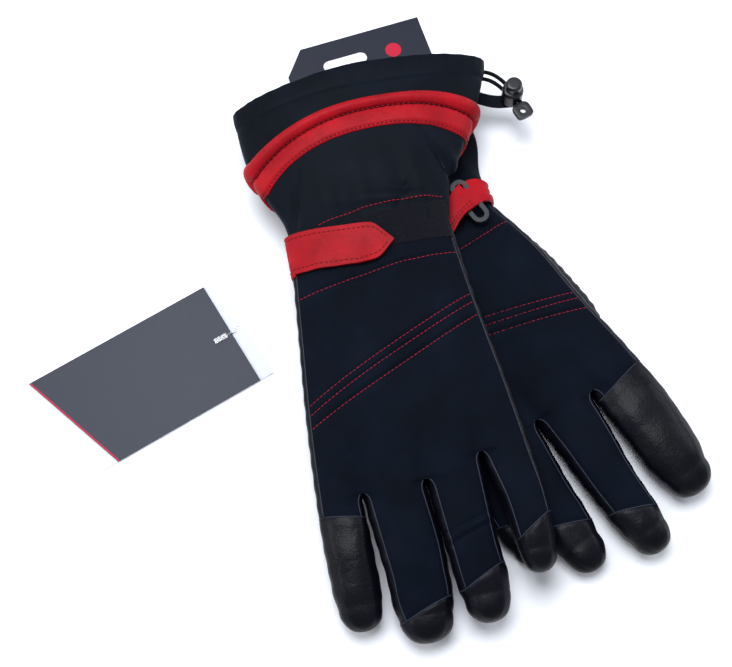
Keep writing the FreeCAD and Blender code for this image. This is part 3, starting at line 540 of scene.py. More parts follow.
def leather(name, dark, light, grain, depth, roughness, wrinkle, specular=0.5, coat=0.0):
    """Dressed leather: pebbled grain of cells, finer pores, and soft wrinkles of the skin."""
    material, tree, shader = blank(name, {
        "Specular IOR Level": specular, "Coat Weight": coat, "Coat Roughness": 0.35})
    place = add(tree, "TexCoord")
    bend = add(tree, "TexNoise", {"Scale": 300.0, "Detail": 2.0},
               links={"Vector": place.outputs["Object"]})
    shifted = add(tree, "VectorMath", {"operation": "MULTIPLY_ADD"},
                  links={0: bend.outputs["Color"], 2: place.outputs["Object"]})
    shifted.inputs[1].default_value = (0.0008, 0.0008, 0.0008)
    cells = add(tree, "TexVoronoi", {"feature": "SMOOTH_F1", "Scale": 1 / (grain * MM),
                                     "Smoothness": 0.35},
                links={"Vector": shifted.outputs["Vector"]})
    pores = add(tree, "TexNoise", {"Scale": 1500.0, "Detail": 2.0},
                links={"Vector": place.outputs["Object"]})
    creases = add(tree, "TexNoise", {"Scale": 95.0, "Detail": 4.0, "Roughness": 0.6,
                                     "Distortion": 0.8},
                  links={"Vector": place.outputs["Object"]})
    tone = add(tree, "TexNoise", {"Scale": 60.0, "Detail": 3.0},
               links={"Vector": place.outputs["Object"]})
    two_tones(tree, shader, tone.outputs["Fac"], dark, light)
    dull = add(tree, "MapRange", {"To Min": roughness - 0.07, "To Max": roughness + 0.09},
               links={"Value": creases.outputs["Fac"]})
    tree.links.new(dull.outputs["Result"], shader.inputs["Roughness"])
    skin = add(tree, "Bump", {"Strength": 0.6, "Distance": wrinkle * MM},
               links={"Height": creases.outputs["Fac"]})
    pebble = add(tree, "Bump", {"Strength": 0.55, "Distance": depth * MM},
                 links={"Height": cells.outputs["Distance"], "Normal": skin.outputs["Normal"]})
    pore = add(tree, "Bump", {"Strength": 0.25, "Distance": 0.00008},
               links={"Height": pores.outputs["Fac"], "Normal": pebble.outputs["Normal"]})
    tree.links.new(pore.outputs["Normal"], shader.inputs["Normal"])
    return material


def napped(name, dark, light, tuft, depth, sheen):
    """Fuzzy pile: tufts drawn as soft lumps, with a sheen where the fibres' tips catch light."""
    material, tree, shader = blank(name, {
        "Roughness": 0.95, "Sheen Weight": sheen, "Sheen Roughness": 0.6,
        "Specular IOR Level": 0.15})
    place = add(tree, "TexCoord")
    tufts = add(tree, "TexNoise", {"Scale": 1 / (tuft * MM), "Detail": 4.0, "Roughness": 0.75},
                links={"Vector": place.outputs["Object"]})
    two_tones(tree, shader, tufts.outputs["Fac"], dark, light, 0.38, 0.62)
    pile = add(tree, "Bump", {"Strength": 1.0, "Distance": depth * MM},
               links={"Height": tufts.outputs["Fac"]})
    tree.links.new(pile.outputs["Normal"], shader.inputs["Normal"])
    return material


def moulded(name, dark, light, roughness, grain, specular=0.5):
    """Moulded plastic or pressed card: an even surface with a faint texture from its tool."""
    material, tree, shader = blank(name, {"Roughness": roughness, "Specular IOR Level": specular})
    place = add(tree, "TexCoord")
    texture = add(tree, "TexNoise", {"Scale": 1 / (grain * MM), "Detail": 2.0},
                  links={"Vector": place.outputs["Object"]})
    two_tones(tree, shader, texture.outputs["Fac"], dark, light)
    skin = add(tree, "Bump", {"Strength": 0.15, "Distance": 0.00005},
               links={"Height": texture.outputs["Fac"]})
    tree.links.new(skin.outputs["Normal"], shader.inputs["Normal"])
    return material


def clear_plastic():
    """Polypropylene fastener: clear and slightly milky."""
    material, tree, shader = blank("clear_polypropylene", {
        "Roughness": 0.18, "IOR": 1.49, "Transmission Weight": 0.85})
    place = add(tree, "TexCoord")
    haze = add(tree, "TexNoise", {"Scale": 700.0}, links={"Vector": place.outputs["Object"]})
    two_tones(tree, shader, haze.outputs["Fac"], "#e6eaee", "#f8fafc")
    return material


# Polyester softshell, knitted face: matt navy black. Its 0.3 mm ribs are drawn at 0.9 mm to show.
SOFTSHELL = woven("softshell_polyester", "#02060f", "#08121f", 0.9, 0.10, 0.78, 0.06, "#2c4c78")
# Coated nylon of the gauntlet: a tighter weave with a little more gloss.
NYLON = woven("coated_nylon", "#03070e", "#09121d", 0.7, 0.07, 0.60, 0.06, "#2c4670")
# Goat leather dyed black, lightly glazed: soft highlights and a fine pebble.
BLACK_LEATHER = leather("black_goatskin", "#030409", "#090a12", 0.9, 0.13, 0.38, 0.8, 0.13)
# The thumb's base: the same leather, more worked and wrinkled.
WORN_LEATHER = leather("wrinkled_goatskin", "#07070c", "#15151c", 1.1, 0.2, 0.46, 1.3, 0.2)
# Red dyed cowhide trim: semi-matt with a visible pebble grain.
RED_LEATHER = leather("red_cowhide", "#860a15", "#a3101b", 1.0, 0.20, 0.50, 0.5, 0.10)
# Brushed nylon loop and moulded hooks.
LOOP = napped("brushed_loop", "#010208", "#0a0c18", 0.8, 0.9, 0.03)
HOOKS = napped("moulded_hooks", "#08080a", "#1a1a1f", 1.4, 0.4, 0.1)
FLEECE = napped("fleece_pile", "#15161a", "#2b2d33", 1.2, 0.8, 0.5)
# Polyester thread, twisted: red for the decoration, and for the seams a grey lighter than black thread,
# partly thread colour and partly painted highlight along the seam lines.
RED_THREAD = moulded("red_thread", "#8e1228", "#b8203a", 0.6, 0.5, 0.15)
DEEP_RED_THREAD = moulded("deep_red_thread", "#5a0911", "#7a0f1a", 0.65, 0.5, 0.15)
GREY_THREAD_AND_HIGHLIGHT = moulded("grey_thread_and_painted_highlight", "#1b2029", "#323a48", 0.55, 0.5, 0.2)
BLACK_PLASTIC = moulded("black_acetal", "#07080b", "#0e0f14", 0.28, 0.6)
GREY_PLASTIC = moulded("grey_nylon_ring", "#171b1e", "#212629", 0.45, 0.5, 0.25)
CORD = woven("braided_cord", "#07080c", "#15171f", 0.9, 0.12, 0.6, 0.2, "#606878")
STEEL = moulded("spring_steel", "#8f9296", "#a5a8ac", 0.3, 0.3)
SLATE_CARD = moulded("slate_card", "#1b1e28", "#232733", 0.45, 0.35, 0.15)
TAG_SLATE = moulded("tag_slate_card", "#292c36", "#333742", 0.45, 0.35, 0.2)
# White card of the tag's back leaf, greyed all over as painted shade so that it stands apart from the
# white floor.
SHADED_WHITE_CARD = moulded("white_card", "#cfd4dd", "#dbe0e8", 0.6, 0.4, 0.2)
RED_INK = moulded("red_ink", "#a80a2c", "#bc0e34", 0.45, 0.4, 0.2)
CLEAR = clear_plastic()
STEEL.node_tree.nodes["Principled BSDF"].inputs["Metallic"].default_value = 1.0


# ---- the two gloves' measures --------------------------------------------------------------------
# Stitch lines as (places across, places along), each pulled into the padding.
LEFT_SEAMS = [
    ([-43, -16, 0, 11, 46], [27, 24, 22.5, 21, 20]),
    ([-53, -16, 50], [89, 72, 44]),
    ([-53, -16, 50], [94, 77, 49]),
    ([-53, -25, 50], [101, 89, 57]),
]
RIGHT_SEAMS = [
    ([-52, -24, 0, 40], [24, 23, 21, 22]),
    ([-56, -12, 48], [80, 65, 45]),
    ([-56, -12, 48], [84, 70, 50]),
    ([-56, -12, 48], [91, 76, 57]),
]
# Along, thumb edge, little edge, their floors, their tops, crown, bend in degrees, shift.
LEFT_SECTIONS = [
    (-120, -63.5, 93, 15.6, 15.8, 37, 40, 8, 0, 0), (-108, -63, 91, 15.6, 15.8, 38, 41, 8, 0, 0),
    (-75, -61, 79, 16, 16.5, 42, 44, 7, 0, 0), (-50, -58, 67, 16.4, 18.5, 42, 45, 6, 0, 0),
    (-20, -46, 51, 17, 25, 40, 45.5, 4, 0, 0), (1, -45, 46, 18, 27.5, 37.2, 45, 2, 0, 0),
    (60, -51, 51.5, 12, 24, 35, 44, 2, 0, 0), (100, -54.5, 56, 10, 22, 33, 43, 2, 0, 0),
    (132, -56.5, 59.5, 6.5, 20, 28, 40, 1, 0, 0), (160, -58, 62, 4, 18, 24, 38, 0, 0, 0),
]
RIGHT_SECTIONS = [
    (-97, -68, 60, 1, 1, 12.4, 12.4, 0, -16, -21.3), (-50, -68, 55, 1, 1, 12.5, 12.5, 0, -16, -7.8),
    (-20, -60, 46, 1.2, 1.2, 18, 14.5, 0, -8, -1.4), (1, -53, 46, 2, 0.8, 23, 17, 0, 0, 0),
    (45, -58, 50, 8.2, 0.2, 27.5, 15, 0.5, 0, 0), (85, -59, 54, 8.2, 0, 27, 14, 0.5, 0, 0),
    (122, -62, 57, 4.5, 0, 26, 13.5, 0, 0, 0), (150, -63, 58, 3, 0, 24, 13, 0, 0, 0),
]
LEFT = Glove("left", (2.0, 44.0), 11.5, LEFT_SECTIONS, LEFT_SEAMS)
RIGHT = Glove("right", (25.0, 50.0), 35.0, RIGHT_SECTIONS, RIGHT_SEAMS)
# Name, rows of (thumb edge, little edge, floor, top), places along, crotches, cap seam, its slant.
LEFT_FINGERS = [
    ("index", [(-56.5, -32.8, 7, 28), (-57.5, -32, 3.5, 24), (-56, -33, 1, 20), (-51.5, -37.5, 4.5, 14.5)],
     [172, 194, 205.5], (None, 139), 148.5, 2.2),
    ("middle", [(-32.2, 0.9, 11, 32), (-28.5, 4.3, 6.5, 27.5), (-26, 2, 1.2, 21.5), (-19, -5, 5.5, 17)],
     [182, 206, 218], (139, 139), 203, -4.8),
    ("ring", [(1.5, 32.4, 15, 36), (5, 32.4, 10.5, 32), (8.5, 32.8, 5.5, 26), (14, 27, 10, 22)],
     [176, 202, 214.5], (139, 131), 193, -5.5),
    ("little", [(33, 59.5, 20, 40), (38.5, 61.5, 18, 38), (41.5, 60, 16, 35), (44.5, 57.5, 20.5, 29.5)],
     [160, 186, 196], (131, None), 174, -6.0),
]
RIGHT_FINGERS = [
    ("index", [(-62, -29.3, 5, 26), (-63, -28.7, 2, 23), (-57.5, -31, 0.3, 20), (-51.5, -36.5, 4.5, 15)],
     [160, 194, 205.5], (None, 130), 134, 3.0),
    ("middle", [(-28.7, 5.2, 3, 23.5), (-21, 6.2, 1, 22), (-18, 4, 0.2, 20), (-13, -1, 5, 15)],
     [180, 207, 218], (130, 125.5), 194, -5.0),
    ("ring", [(5.8, 33.6, 0.4, 17), (10, 36, 0.2, 16), (14.5, 38, 0.1, 15.5), (20, 32, 4, 12)],
     [160, 192, 206], (125.5, 124), 180, -5.0),
    ("little", [(34.2, 57, 0.3, 13.5), (36.6, 58, 0.2, 13.5), (39.5, 58, 0.1, 13), (44, 54, 3, 10)],
     [150, 176, 186], (124, None), 164, -4.0),
]


def make_fingers(glove, rows):
    """A glove's four fingers from their rows, each told who its neighbours are."""
    fingers = [Finger(glove, name, KNUCKLE[glove.side], row, along, crotches, seam, slant)
               for name, row, along, crotches, seam, slant in rows]
    for first, second in zip(fingers, fingers[1:]):
        first.neighbours[1], second.neighbours[0] = second, first
    return fingers


# ---- hand and finger pieces ----------------------------------------------------------------------
WALL = 1.1
# Fingers that bend up on joints of their own.
# Fingers whose pieces are baked into the set's frame instead of attached to the glove's body.
FREE = {"left": ("index", "middle", "ring", "little"), "right": ("index", "middle")}
# Where the hand's pieces end and the fingers' begin, and where the knuckles lie, along each glove.
SPLIT = {"left": 128.0, "right": 120.0}
KNUCKLE = {"left": 132.0, "right": 122.0}
# A free finger's length from its knuckle and a height in metres, for two points that nothing uses; no
# finger is bent.
BEND_LENGTH = 32
BEND_HEIGHT = 0.02
# Where the back strip's edge lies across a finger's section, from -1 to 1.
STRIP_EDGE = 0.86
STRIP_COLUMNS, WALL_COLUMNS = 29, 13
ACROSS_STEP = 0.04
SEAM_RISE = 0.15
SEAM_RADIUS = 0.34


def rows_between(start, end, count):
    """Rows of places along, from start to an end that may differ from column to column."""
    share = np.linspace(0, 1, count)[:, None]
    return start + share * (np.atleast_1d(end)[None, :] - start)


def finger_centre(finger, along):
    """The middle of a finger's section, in the set's frame."""
    centre, _, middle, _ = finger.body(np.asarray(along, float))
    return finger.glove.place(centre, np.asarray(along, float), middle)


def grid_of(finger, surface, columns, along):
    """A finger patch's points and outward normals; columns are s or q, spread to the grid."""
    first = np.broadcast_to(columns[None, :], along.shape).copy()

    def scaled(a, b):
        return surface(np.clip(a, columns.min(), columns.max()), b)
    across = scaled(first + ACROSS_STEP, along) - scaled(first - ACROSS_STEP, along)
    onward = surface(first, along + 0.3) - surface(first, along - 0.3)
    normals = unit(np.cross(across, onward))
    points = surface(first, along)
    return points, away_from(points, normals, finger_centre(finger, along))


def strip_rows(finger, columns, start, count):
    """Rows for a back or floor strip from its start to the cap's slanted seam."""
    ends = finger.cut(columns * STRIP_EDGE)
    return rows_between(start, ends, count)


def finger_pieces(finger):
    """The back, the underside with its walls, and the leather cap of one finger."""
    side = finger.glove.side
    start = SPLIT[side]
    free = finger.name in FREE[side]
    s = np.linspace(-1, 1, STRIP_COLUMNS)
    q = np.linspace(0, 1, WALL_COLUMNS)
    count = int((finger.seam - start) / 1.5) + 2
    along = strip_rows(finger, s, start, count)
    back = Cloth()
    points, normals = grid_of(finger, lambda a, b: finger.strip(a, b, 1), s, along)
    back.add(points, normals, WALL)
    under = Cloth()
    points, normals = grid_of(finger, lambda a, b: finger.strip(a, b, -1), s, along)
    under.add(points, normals, WALL)
    for way, sign in ((0, -1), (1, 1)):
        crotch = finger.crotches[way]
        first = start if crotch is None else crotch
        end = finger.cut(np.full(len(q), sign * 0.93))
        rows = first + (np.linspace(0, 1, 44) ** 1.3)[:, None] * (end[None, :] - first)
        points, normals = grid_of(finger, lambda a, b, way=way: finger.wall(way, a, b), q, rows)
        under.add(points, normals, WALL)
    cap = Cloth()
    k = np.concatenate([np.linspace(0, 1, 21)[:-1], np.linspace(1, 2, 11)[:-1],
                        np.linspace(2, 3, 17)[:-1], np.linspace(3, 4, 11)[:-1]])
    x_of_k = np.interp(k, [0, 1, 1.5, 2, 3, 3.5, 4],
                       [-STRIP_EDGE, STRIP_EDGE, 1, STRIP_EDGE, -STRIP_EDGE, -1, -STRIP_EDGE])
    ends = finger.end - 0.02
    ease = np.sin(np.linspace(0, math.pi / 2, 40))[:, None]
    starts = finger.cut(x_of_k) + 0.1
    rows = starts[None, :] + ease * (ends - starts[None, :])
    ks = np.broadcast_to(k[None, :], rows.shape)
    points = finger_point(finger, ks, rows)
    rolled = (np.roll(points, -1, 1) - np.roll(points, 1, 1))
    onward = np.gradient(points, axis=0)
    normals = unit(np.cross(rolled, onward))
    normals = away_from(points, normals, finger_centre(finger, rows))
    normals[-1] = unit(points[-1:] - finger_centre(finger, rows[:1]))[0]
    cap.add(points, normals, 0.0, wrap=True)
    name = f"{side}_{finger.name}"
    pieces = [back.finish(f"{name}_back_cloth", SOFTSHELL),
              under.finish(f"{name}_underside", BLACK_LEATHER),
              cap.finish(f"{name}_cap", BLACK_LEATHER)]
    # The seam tubes' lighter grey is partly painted highlight along the seam lines.
    seam_line = Cloth()
    line = finger_point(finger, ks[:1], finger.cut(x_of_k)[None, :])[0]
    for lengthwise in (0, 1):
        crotch = finger.crotches[lengthwise]
        first = start if crotch is None else crotch + 0.4
        run = np.linspace(first, finger.cut(np.array([(-1, 1)[lengthwise] * 0.9]))[0], 70)
        edge = finger.strip(np.full_like(run, (-1, 1)[lengthwise]), run, 1)
        edge[:, 2] += SEAM_RISE * MM
        seam_line.add(*tube(edge, SEAM_RADIUS * MM, 6), wrap=True)
    seam_line.add(*tube(np.r_[line, line[:1]] + [0, 0, 0.05 * MM], 0.3 * MM, 6), wrap=True)
    pieces.append(seam_line.finish(f"{name}_seams", GREY_THREAD_AND_HIGHLIGHT))
    if free:
        start_point = finger_centre(finger, KNUCKLE[side])
        end_point = finger_centre(finger, KNUCKLE[side] + BEND_LENGTH)
        start_point[2] = end_point[2] = BEND_HEIGHT
        for piece in pieces:
            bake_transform(piece)
        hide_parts(f"{name}_back")
        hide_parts(f"{name}_under", f"{name}_lining")
        if finger.name != "index":
            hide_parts(f"{name}_tip")
    else:
        for piece in pieces:
            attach(piece, f"{side}_glove")
        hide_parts(f"{name}_tip")


def hand_pieces(glove, fingers):
    """The back of the hand, and the palm with the two outer edges, up to the knuckle line."""
    side = glove.side
    start, end = -1.0, SPLIT[side]
    back, palm = Cloth(), Cloth()
    count = int((end - start) / 1.3)
    for cloth, way in ((back, 1), (palm, -1)):
        points, normals = [], []
        for number, finger in enumerate(fingers):
            s = np.linspace(-1, 1, STRIP_COLUMNS)
            along = rows_between(start, np.full(STRIP_COLUMNS, end), count)
            grid = grid_of(finger, lambda a, b, f=finger, w=way: f.strip(a, b, w), s, along)
            keep = slice(None) if number == 0 else slice(1, None)
            points.append(grid[0][:, keep])
            normals.append(grid[1][:, keep])
        cloth.add(np.concatenate(points, 1), np.concatenate(normals, 1), WALL)
    # The edge seam tubes' lighter grey is partly painted highlight along the seams.
    seams = Cloth()
    for finger, way in ((fingers[0], 0), (fingers[-1], 1)):
        q = np.linspace(0, 1, WALL_COLUMNS)
        along = rows_between(start, np.full(WALL_COLUMNS, end), 90)
        points, normals = grid_of(finger, lambda a, b, w=way, f=finger: f.wall(w, a, b), q, along)
        palm.add(points, normals, WALL)
        run = np.linspace(start, end, 90)
        edge = finger.strip(np.full_like(run, 2 * way - 1), run, 1)
        edge[:, 2] += SEAM_RISE * MM
        seams.add(*tube(edge, SEAM_RADIUS * MM, 6), wrap=True)
    back = back.finish(f"{side}_hand_back_cloth", SOFTSHELL)
    palm = palm.finish(f"{side}_palm_leather", BLACK_LEATHER)
    seams = seams.finish(f"{side}_edge_seams", GREY_THREAD_AND_HIGHLIGHT)
    lines = []
    for knots, values in glove.seams:
        ends = [fingers[0].borders(np.array([values[0]], float))[0][0] + 0.5,
                fingers[-1].borders(np.array([values[-1]], float))[1][0] - 0.5]
        u = np.linspace(ends[0], ends[1], 220)
        along = smooth_curve(knots, values, u)
        lines.append(glove.draped(u, along, 0.12))
    thread = stitch_piece(f"{side}_back_stitching", lines, RED_THREAD)
    for piece in (back, palm, seams, thread):
        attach(piece, f"{side}_glove")
    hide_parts(f"{side}_hand_back")
    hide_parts(f"{side}_palm")


left_fingers = make_fingers(LEFT, LEFT_FINGERS)
right_fingers = make_fingers(RIGHT, RIGHT_FINGERS)
hand_pieces(LEFT, left_fingers)
hand_pieces(RIGHT, right_fingers)
for one in left_fingers + right_fingers:
    finger_pieces(one)


# ---- cuffs ---------------------------------------------------------------------------------------
def even_angles(count, half=65.0, tall=14.0):
    """Angles whose points lie evenly spaced round a section."""
    angle = np.linspace(0, 2 * math.pi, 6001)
    x = signed_power(np.cos(angle), 2 / Glove.ROUNDNESS) * half
    z = signed_power(np.sin(angle), 2 / Glove.ROUNDNESS) * tall
    run = np.r_[0, np.cumsum(np.hypot(np.diff(x), np.diff(z)))]
    return np.interp(np.linspace(0, run[-1], count, endpoint=False), run, angle)


def across_of(glove, angle, along):
    """How far across the glove a point at an angle round its section lies."""
    thumb, little = glove.at(along)[:2]
    return thumb + (1 + signed_power(np.cos(angle), 2 / Glove.ROUNDNESS)) / 2 * (little - thumb)


def angle_after(glove, along, u_start, distance):
    """The angle reached by walking a distance round the section towards the thumb edge and under."""
    angle = np.linspace(0.02, 1.9 * math.pi, 4001)
    points = glove.loop(angle, np.full_like(angle, along)) / MM
    run = np.r_[0, np.cumsum(np.linalg.norm(np.diff(points, axis=0), axis=1))]
    begin = np.interp(glove.angle_of(np.array([u_start]), np.array([along]))[0], angle, run)
    return np.interp(begin + distance, run, angle)


def cuff_fold(glove, along, u):
    """Soft folds of the gauntlet: gathers fanning out of the wrist, and two slack creases."""
    fan = smoothstep((along + 62) / 50) * (0.9 * np.sin(u * 0.21 + 0.7) + 0.6 * np.sin(u * 0.37 + 2.1))
    slack = 1.1 * np.sin(u * 0.055 + along * 0.035) * np.sin(along * 0.06 + 0.5)
    crease = -2.6 * bump(u - 44 - 0.42 * (along + 50), 2.6) * bump(along + 34, 17)
    crease = crease - 2.0 * bump(u + 36 + 0.25 * (along + 30), 2.4) * bump(along + 24, 14)
    crease = crease + 1.6 * bump(u - 50 - 0.42 * (along + 50), 4.0) * bump(along + 34, 17)
    crease = crease + 1.5 * bump(along + 19 - 0.12 * u, 3.6) * bump(u - 14, 26)
    crease = crease - 0.7 * bump(along + 26 - 0.16 * u, 2.4) * bump(u - 22, 18)
    crease = crease - 0.8 * bump(u - 24 + 0.7 * (along + 20), 2.2) * bump(along + 20, 10)
    crease = crease - 1.2 * bump(u + 50 - 0.35 * (along + 80), 2.6) * bump(along + 84, 12)
    return fan + slack + (crease if glove.side == "left" else 0.0)


def cuff_surface(glove, angle, along, lift):
    """A point round the cuff with its folds, raised by a lift."""
    u = across_of(glove, angle, along)
    return glove.wrapped(angle, along, lift + cuff_fold(glove, along, u))[0]


def arch(line, u):
    """A shallow arch across the glove: the peak's along plus a curvature times distance squared."""
    middle, peak, thumb_side, little_side = line
    return peak + np.where(u < middle, thumb_side, little_side) * (u - middle) ** 2


def cuff_piece(glove, mouth, wall):
    """A nylon tube from the wrist to the mouth, round its lip, and back inside by the hem."""
    angle = even_angles(260)
    ends = arch(mouth, across_of(glove, angle, np.full_like(angle, mouth[1])))
    outer = np.linspace(0, 1, 90)
    rows, lifts = [], []
    for share in outer:
        rows.append(-0.5 + share * (ends + 0.5))
        hem = bump((1 - share) * 100 - 5, 5.0) * 0.5 - bump((1 - share) * 100 - 12, 1.0) * 0.6
        lifts.append(np.full_like(angle, hem) - 0.6 * np.exp(-share * 100 / 3))
    for turn in np.linspace(0, math.pi, 9)[1:]:
        rows.append(ends - wall / 2 * np.sin(turn))
        lifts.append(np.full_like(angle, -wall / 2 * (1 - np.cos(turn))))
    for share in np.linspace(0, 1, 14)[1:]:
        rows.append(ends + 18 * share)
        lifts.append(np.full_like(angle, -wall - 0.4 * share))
    rows, lifts = np.array(rows), np.array(lifts)
    angles = np.broadcast_to(angle[None, :], rows.shape)
    drawn = (lifts - bump(rows - ends[None], 9.0) * 0.16 * np.sin(angles * 34 + np.sin(angles * 5) * 2)
             * (lifts > -0.9))
    points = cuff_surface(glove, angles, rows, drawn)
    normals = unit(np.cross(np.roll(points, -1, 1) - np.roll(points, 1, 1),
                            np.gradient(points, axis=0)))
    centre = points.mean((0, 1))
    normals = normals * np.sign(np.sum(normals[:60] * (points[:60] - centre)))
    cuff = Cloth()
    cuff.add(points, normals, wrap=True)
    piece = cuff.finish(f"{glove.side}_cuff_nylon", NYLON)
    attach(piece, f"{glove.side}_glove")
    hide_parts(f"{glove.side}_cuff_shell")


def lining_piece(glove, mouth):
    """The fleece bag: a tube inside the cuff and hand, closed near the knuckles."""
    angle = even_angles(120)
    ends = arch(mouth, across_of(glove, angle, np.full_like(angle, mouth[1])))
    share = np.linspace(0, 1, 60)[:, None]
    deep = 0.86 * KNUCKLE[glove.side]
    rows = ends[None, :] + 12 + share * (deep - ends[None, :] - 12)
    angles = np.broadcast_to(angle[None, :], rows.shape)
    depth = 3.6 + 1.2 * smoothstep((rows + 10) / 12)
    points, normals = glove.wrapped(angles, rows, -depth)
    middle = points[-1].mean(0)
    closing = [points[-1] + (middle - points[-1]) * part for part in (0.35, 0.7, 0.999)]
    points = np.concatenate([points, np.array(closing)])
    normals = np.concatenate([-normals, np.repeat(-normals[-1:], 3, 0)])
    bag = Cloth()
    bag.add(points, normals, wrap=True)
    piece = bag.finish(f"{glove.side}_fleece_bag", FLEECE)
    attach(piece, f"{glove.side}_glove")
    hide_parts(f"{glove.side}_lining")


def band_pieces(glove, top, gather, bottom, reach, first, last):
    """Red leather round the cuff: a rolled piping over the gather line, a flat band below it."""
    angle = np.linspace(first, last, 320)
    guess = np.full_like(angle, -62.0)
    u = across_of(glove, angle, guess)
    below = np.maximum(-np.sin(angle), 0)
    edges = [arch(line, np.clip(u, *reach)) + below * 26 for line in (top, gather, bottom)]
    run = np.cumsum(np.r_[0, np.linalg.norm(np.diff(
        glove.loop(angle, edges[1]) / MM, axis=0), axis=1)])
    pucker = np.sin(run * 2 * math.pi / 3.4) + 0.6 * np.sin(run * 2 * math.pi / 5.9 + 1)
    for name, first, second, node in (("piping", edges[1] - 0.4, edges[0], "cuff_piping"),
                                      ("flat_band", edges[2], edges[1] + 0.4, "cuff_band")):
        share = np.linspace(0, 1, 25)[:, None]
        rows = first[None] + share * (second - first)[None]
        angles = np.broadcast_to(angle[None], rows.shape)
        if name == "piping":
            roll = np.sin(math.pi * share) ** 0.6
            lift = 0.35 + 3.4 * roll + 0.16 * pucker[None] * np.exp(-share * 5)
        else:
            roll = np.clip(np.sin(math.pi * share), 0, 1) ** 0.25
            near_gather = np.exp(-(1 - share) * 6)
            lift = (0.3 + 1.3 * roll + 0.22 * pucker[None] * near_gather
                    - 0.5 * bump((share - 0.13) * 11.5, 0.7))
        points = cuff_surface(glove, angles, rows, lift)
        normals = unit(np.cross(np.gradient(points, axis=1), np.gradient(points, axis=0)))
        away = points - points.mean((0, 1)) + np.array([0, 0, 0.01])
        normals = normals * np.sign(np.sum(normals * away))
        strip = Cloth()
        strip.add(points, normals, 0.9)
        piece = strip.finish(f"{glove.side}_{name}", RED_LEATHER)
        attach(piece, f"{glove.side}_glove")
        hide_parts(f"{glove.side}_{node}")
    lines = []
    for along, lift, kind in ((edges[1], 0.75, 0), (edges[2] - 1.4, 1.25, 1)):
        path = cuff_surface(glove, angle, along, np.full_like(angle, lift))
        lines.append((path, unit(path - glove.place(0 * angle + 8, along, 0 * angle + 25)),
                      (2.0, 1.4)[kind], (0.9, 1.1)[kind], 0.42, 0.3))
    thread = stitch_piece(f"{glove.side}_band_stitching", lines, DEEP_RED_THREAD)
    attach(thread, f"{glove.side}_glove")


# ---- wrist straps --------------------------------------------------------------------------------
# The straps go round the wrist at this place along.
STRAP_ALONG = 3.0


def laid_patch(glove, name, corners, lift, material, wall, fuzz=0.0):
    """A flat patch on the wrist: straight between its four (u, along) corners, with soft edges."""
    a = np.linspace(0, 1, 110)[None, :]
    b = np.linspace(0, 1, 46)[:, None]
    near, far = np.array(corners[:2], float), np.array(corners[3:1:-1], float)
    top = near[0] + a[..., None] * (near[1] - near[0])
    low = far[0] + a[..., None] * (far[1] - far[0])
    plan = top + b[..., None] * (low - top)
    edge = np.minimum(np.minimum(a, 1 - a) * 30, np.minimum(b, 1 - b) * 18)
    rise = lift + 0.9 * np.sqrt(np.clip(edge, 0, 1))
    rise = rise + fuzz * (np.sin(a * 391 + b * 57) * np.sin(b * 173 - a * 31) + np.sin(a * 213 - b * 91))
    points, normals = glove.draped(plan[..., 0], plan[..., 1], rise)
    patch = Cloth()
    patch.add(points, normals, wall)
    return patch.finish(f"{glove.side}_{name}", material)


def strap_ribbon(glove, name, length, u_start, centre, half_width, lift, outline, count=150):
    """Leather ribbon walked round the wrist from u_start towards the thumb edge and down it."""
    distance = np.linspace(0, 1, count) * length
    angle = angle_after(glove, STRAP_ALONG, u_start, distance)
    u = across_of(glove, angle, np.full_like(angle, STRAP_ALONG))
    middle = centre(u)
    half = half_width * outline(distance)
    r = np.linspace(-1, 1, 41)[:, None]
    along = middle[None] + r * half[None]
    angles = np.broadcast_to(angle[None], along.shape)
    from_edge = (1 - np.abs(r)) * half[None]
    rise = lift(distance[None], r) + 0.55 * np.clip(from_edge / 1.0, 0, 1) ** 0.5
    rise = rise - 0.35 * bump(from_edge - 2.6, 0.6)
    points, normals = glove.wrapped(angles, along, rise)
    ribbon = Cloth()
    ribbon.add(points, normals, 1.5)
    return ribbon.finish(f"{glove.side}_{name}", RED_LEATHER), distance, angle, middle, half


def edge_stitching(glove, angle, middle, half, lift, inset, keep):
    """Stitch lines along both edges of a ribbon, inset from its outline."""
    lines = []
    for way in (-1, 1):
        along = middle + way * np.maximum(half - inset, 0)
        path, normals = glove.wrapped(angle[keep], along[keep], lift[keep])
        lines.append((path, normals, 1.9, 0.8, 0.3, 0.22))
    return lines


def strap_ring(glove, u_start, distance, half_length, half_width, bar, lift):
    """The oval ring lying under the tab: a round bar bent along a stadium, on the wrist's curve."""
    angle = np.linspace(0, 2 * math.pi, 161)
    across = signed_power(np.cos(angle), 0.75) * half_width
    along = signed_power(np.sin(angle), 0.75) * half_length + 2.6
    path = glove.wrapped(angle_after(glove, STRAP_ALONG, u_start, distance + across), along,
                         np.full_like(angle, lift))[0]
    points, normals = tube(path, bar * MM, 12)
    ring = Cloth()
    ring.add(points, normals, wrap=True)
    piece = ring.finish(f"{glove.side}_oval_ring", GREY_PLASTIC)
    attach(piece, f"{glove.side}_glove")
    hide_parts(f"{glove.side}_strap_ring")


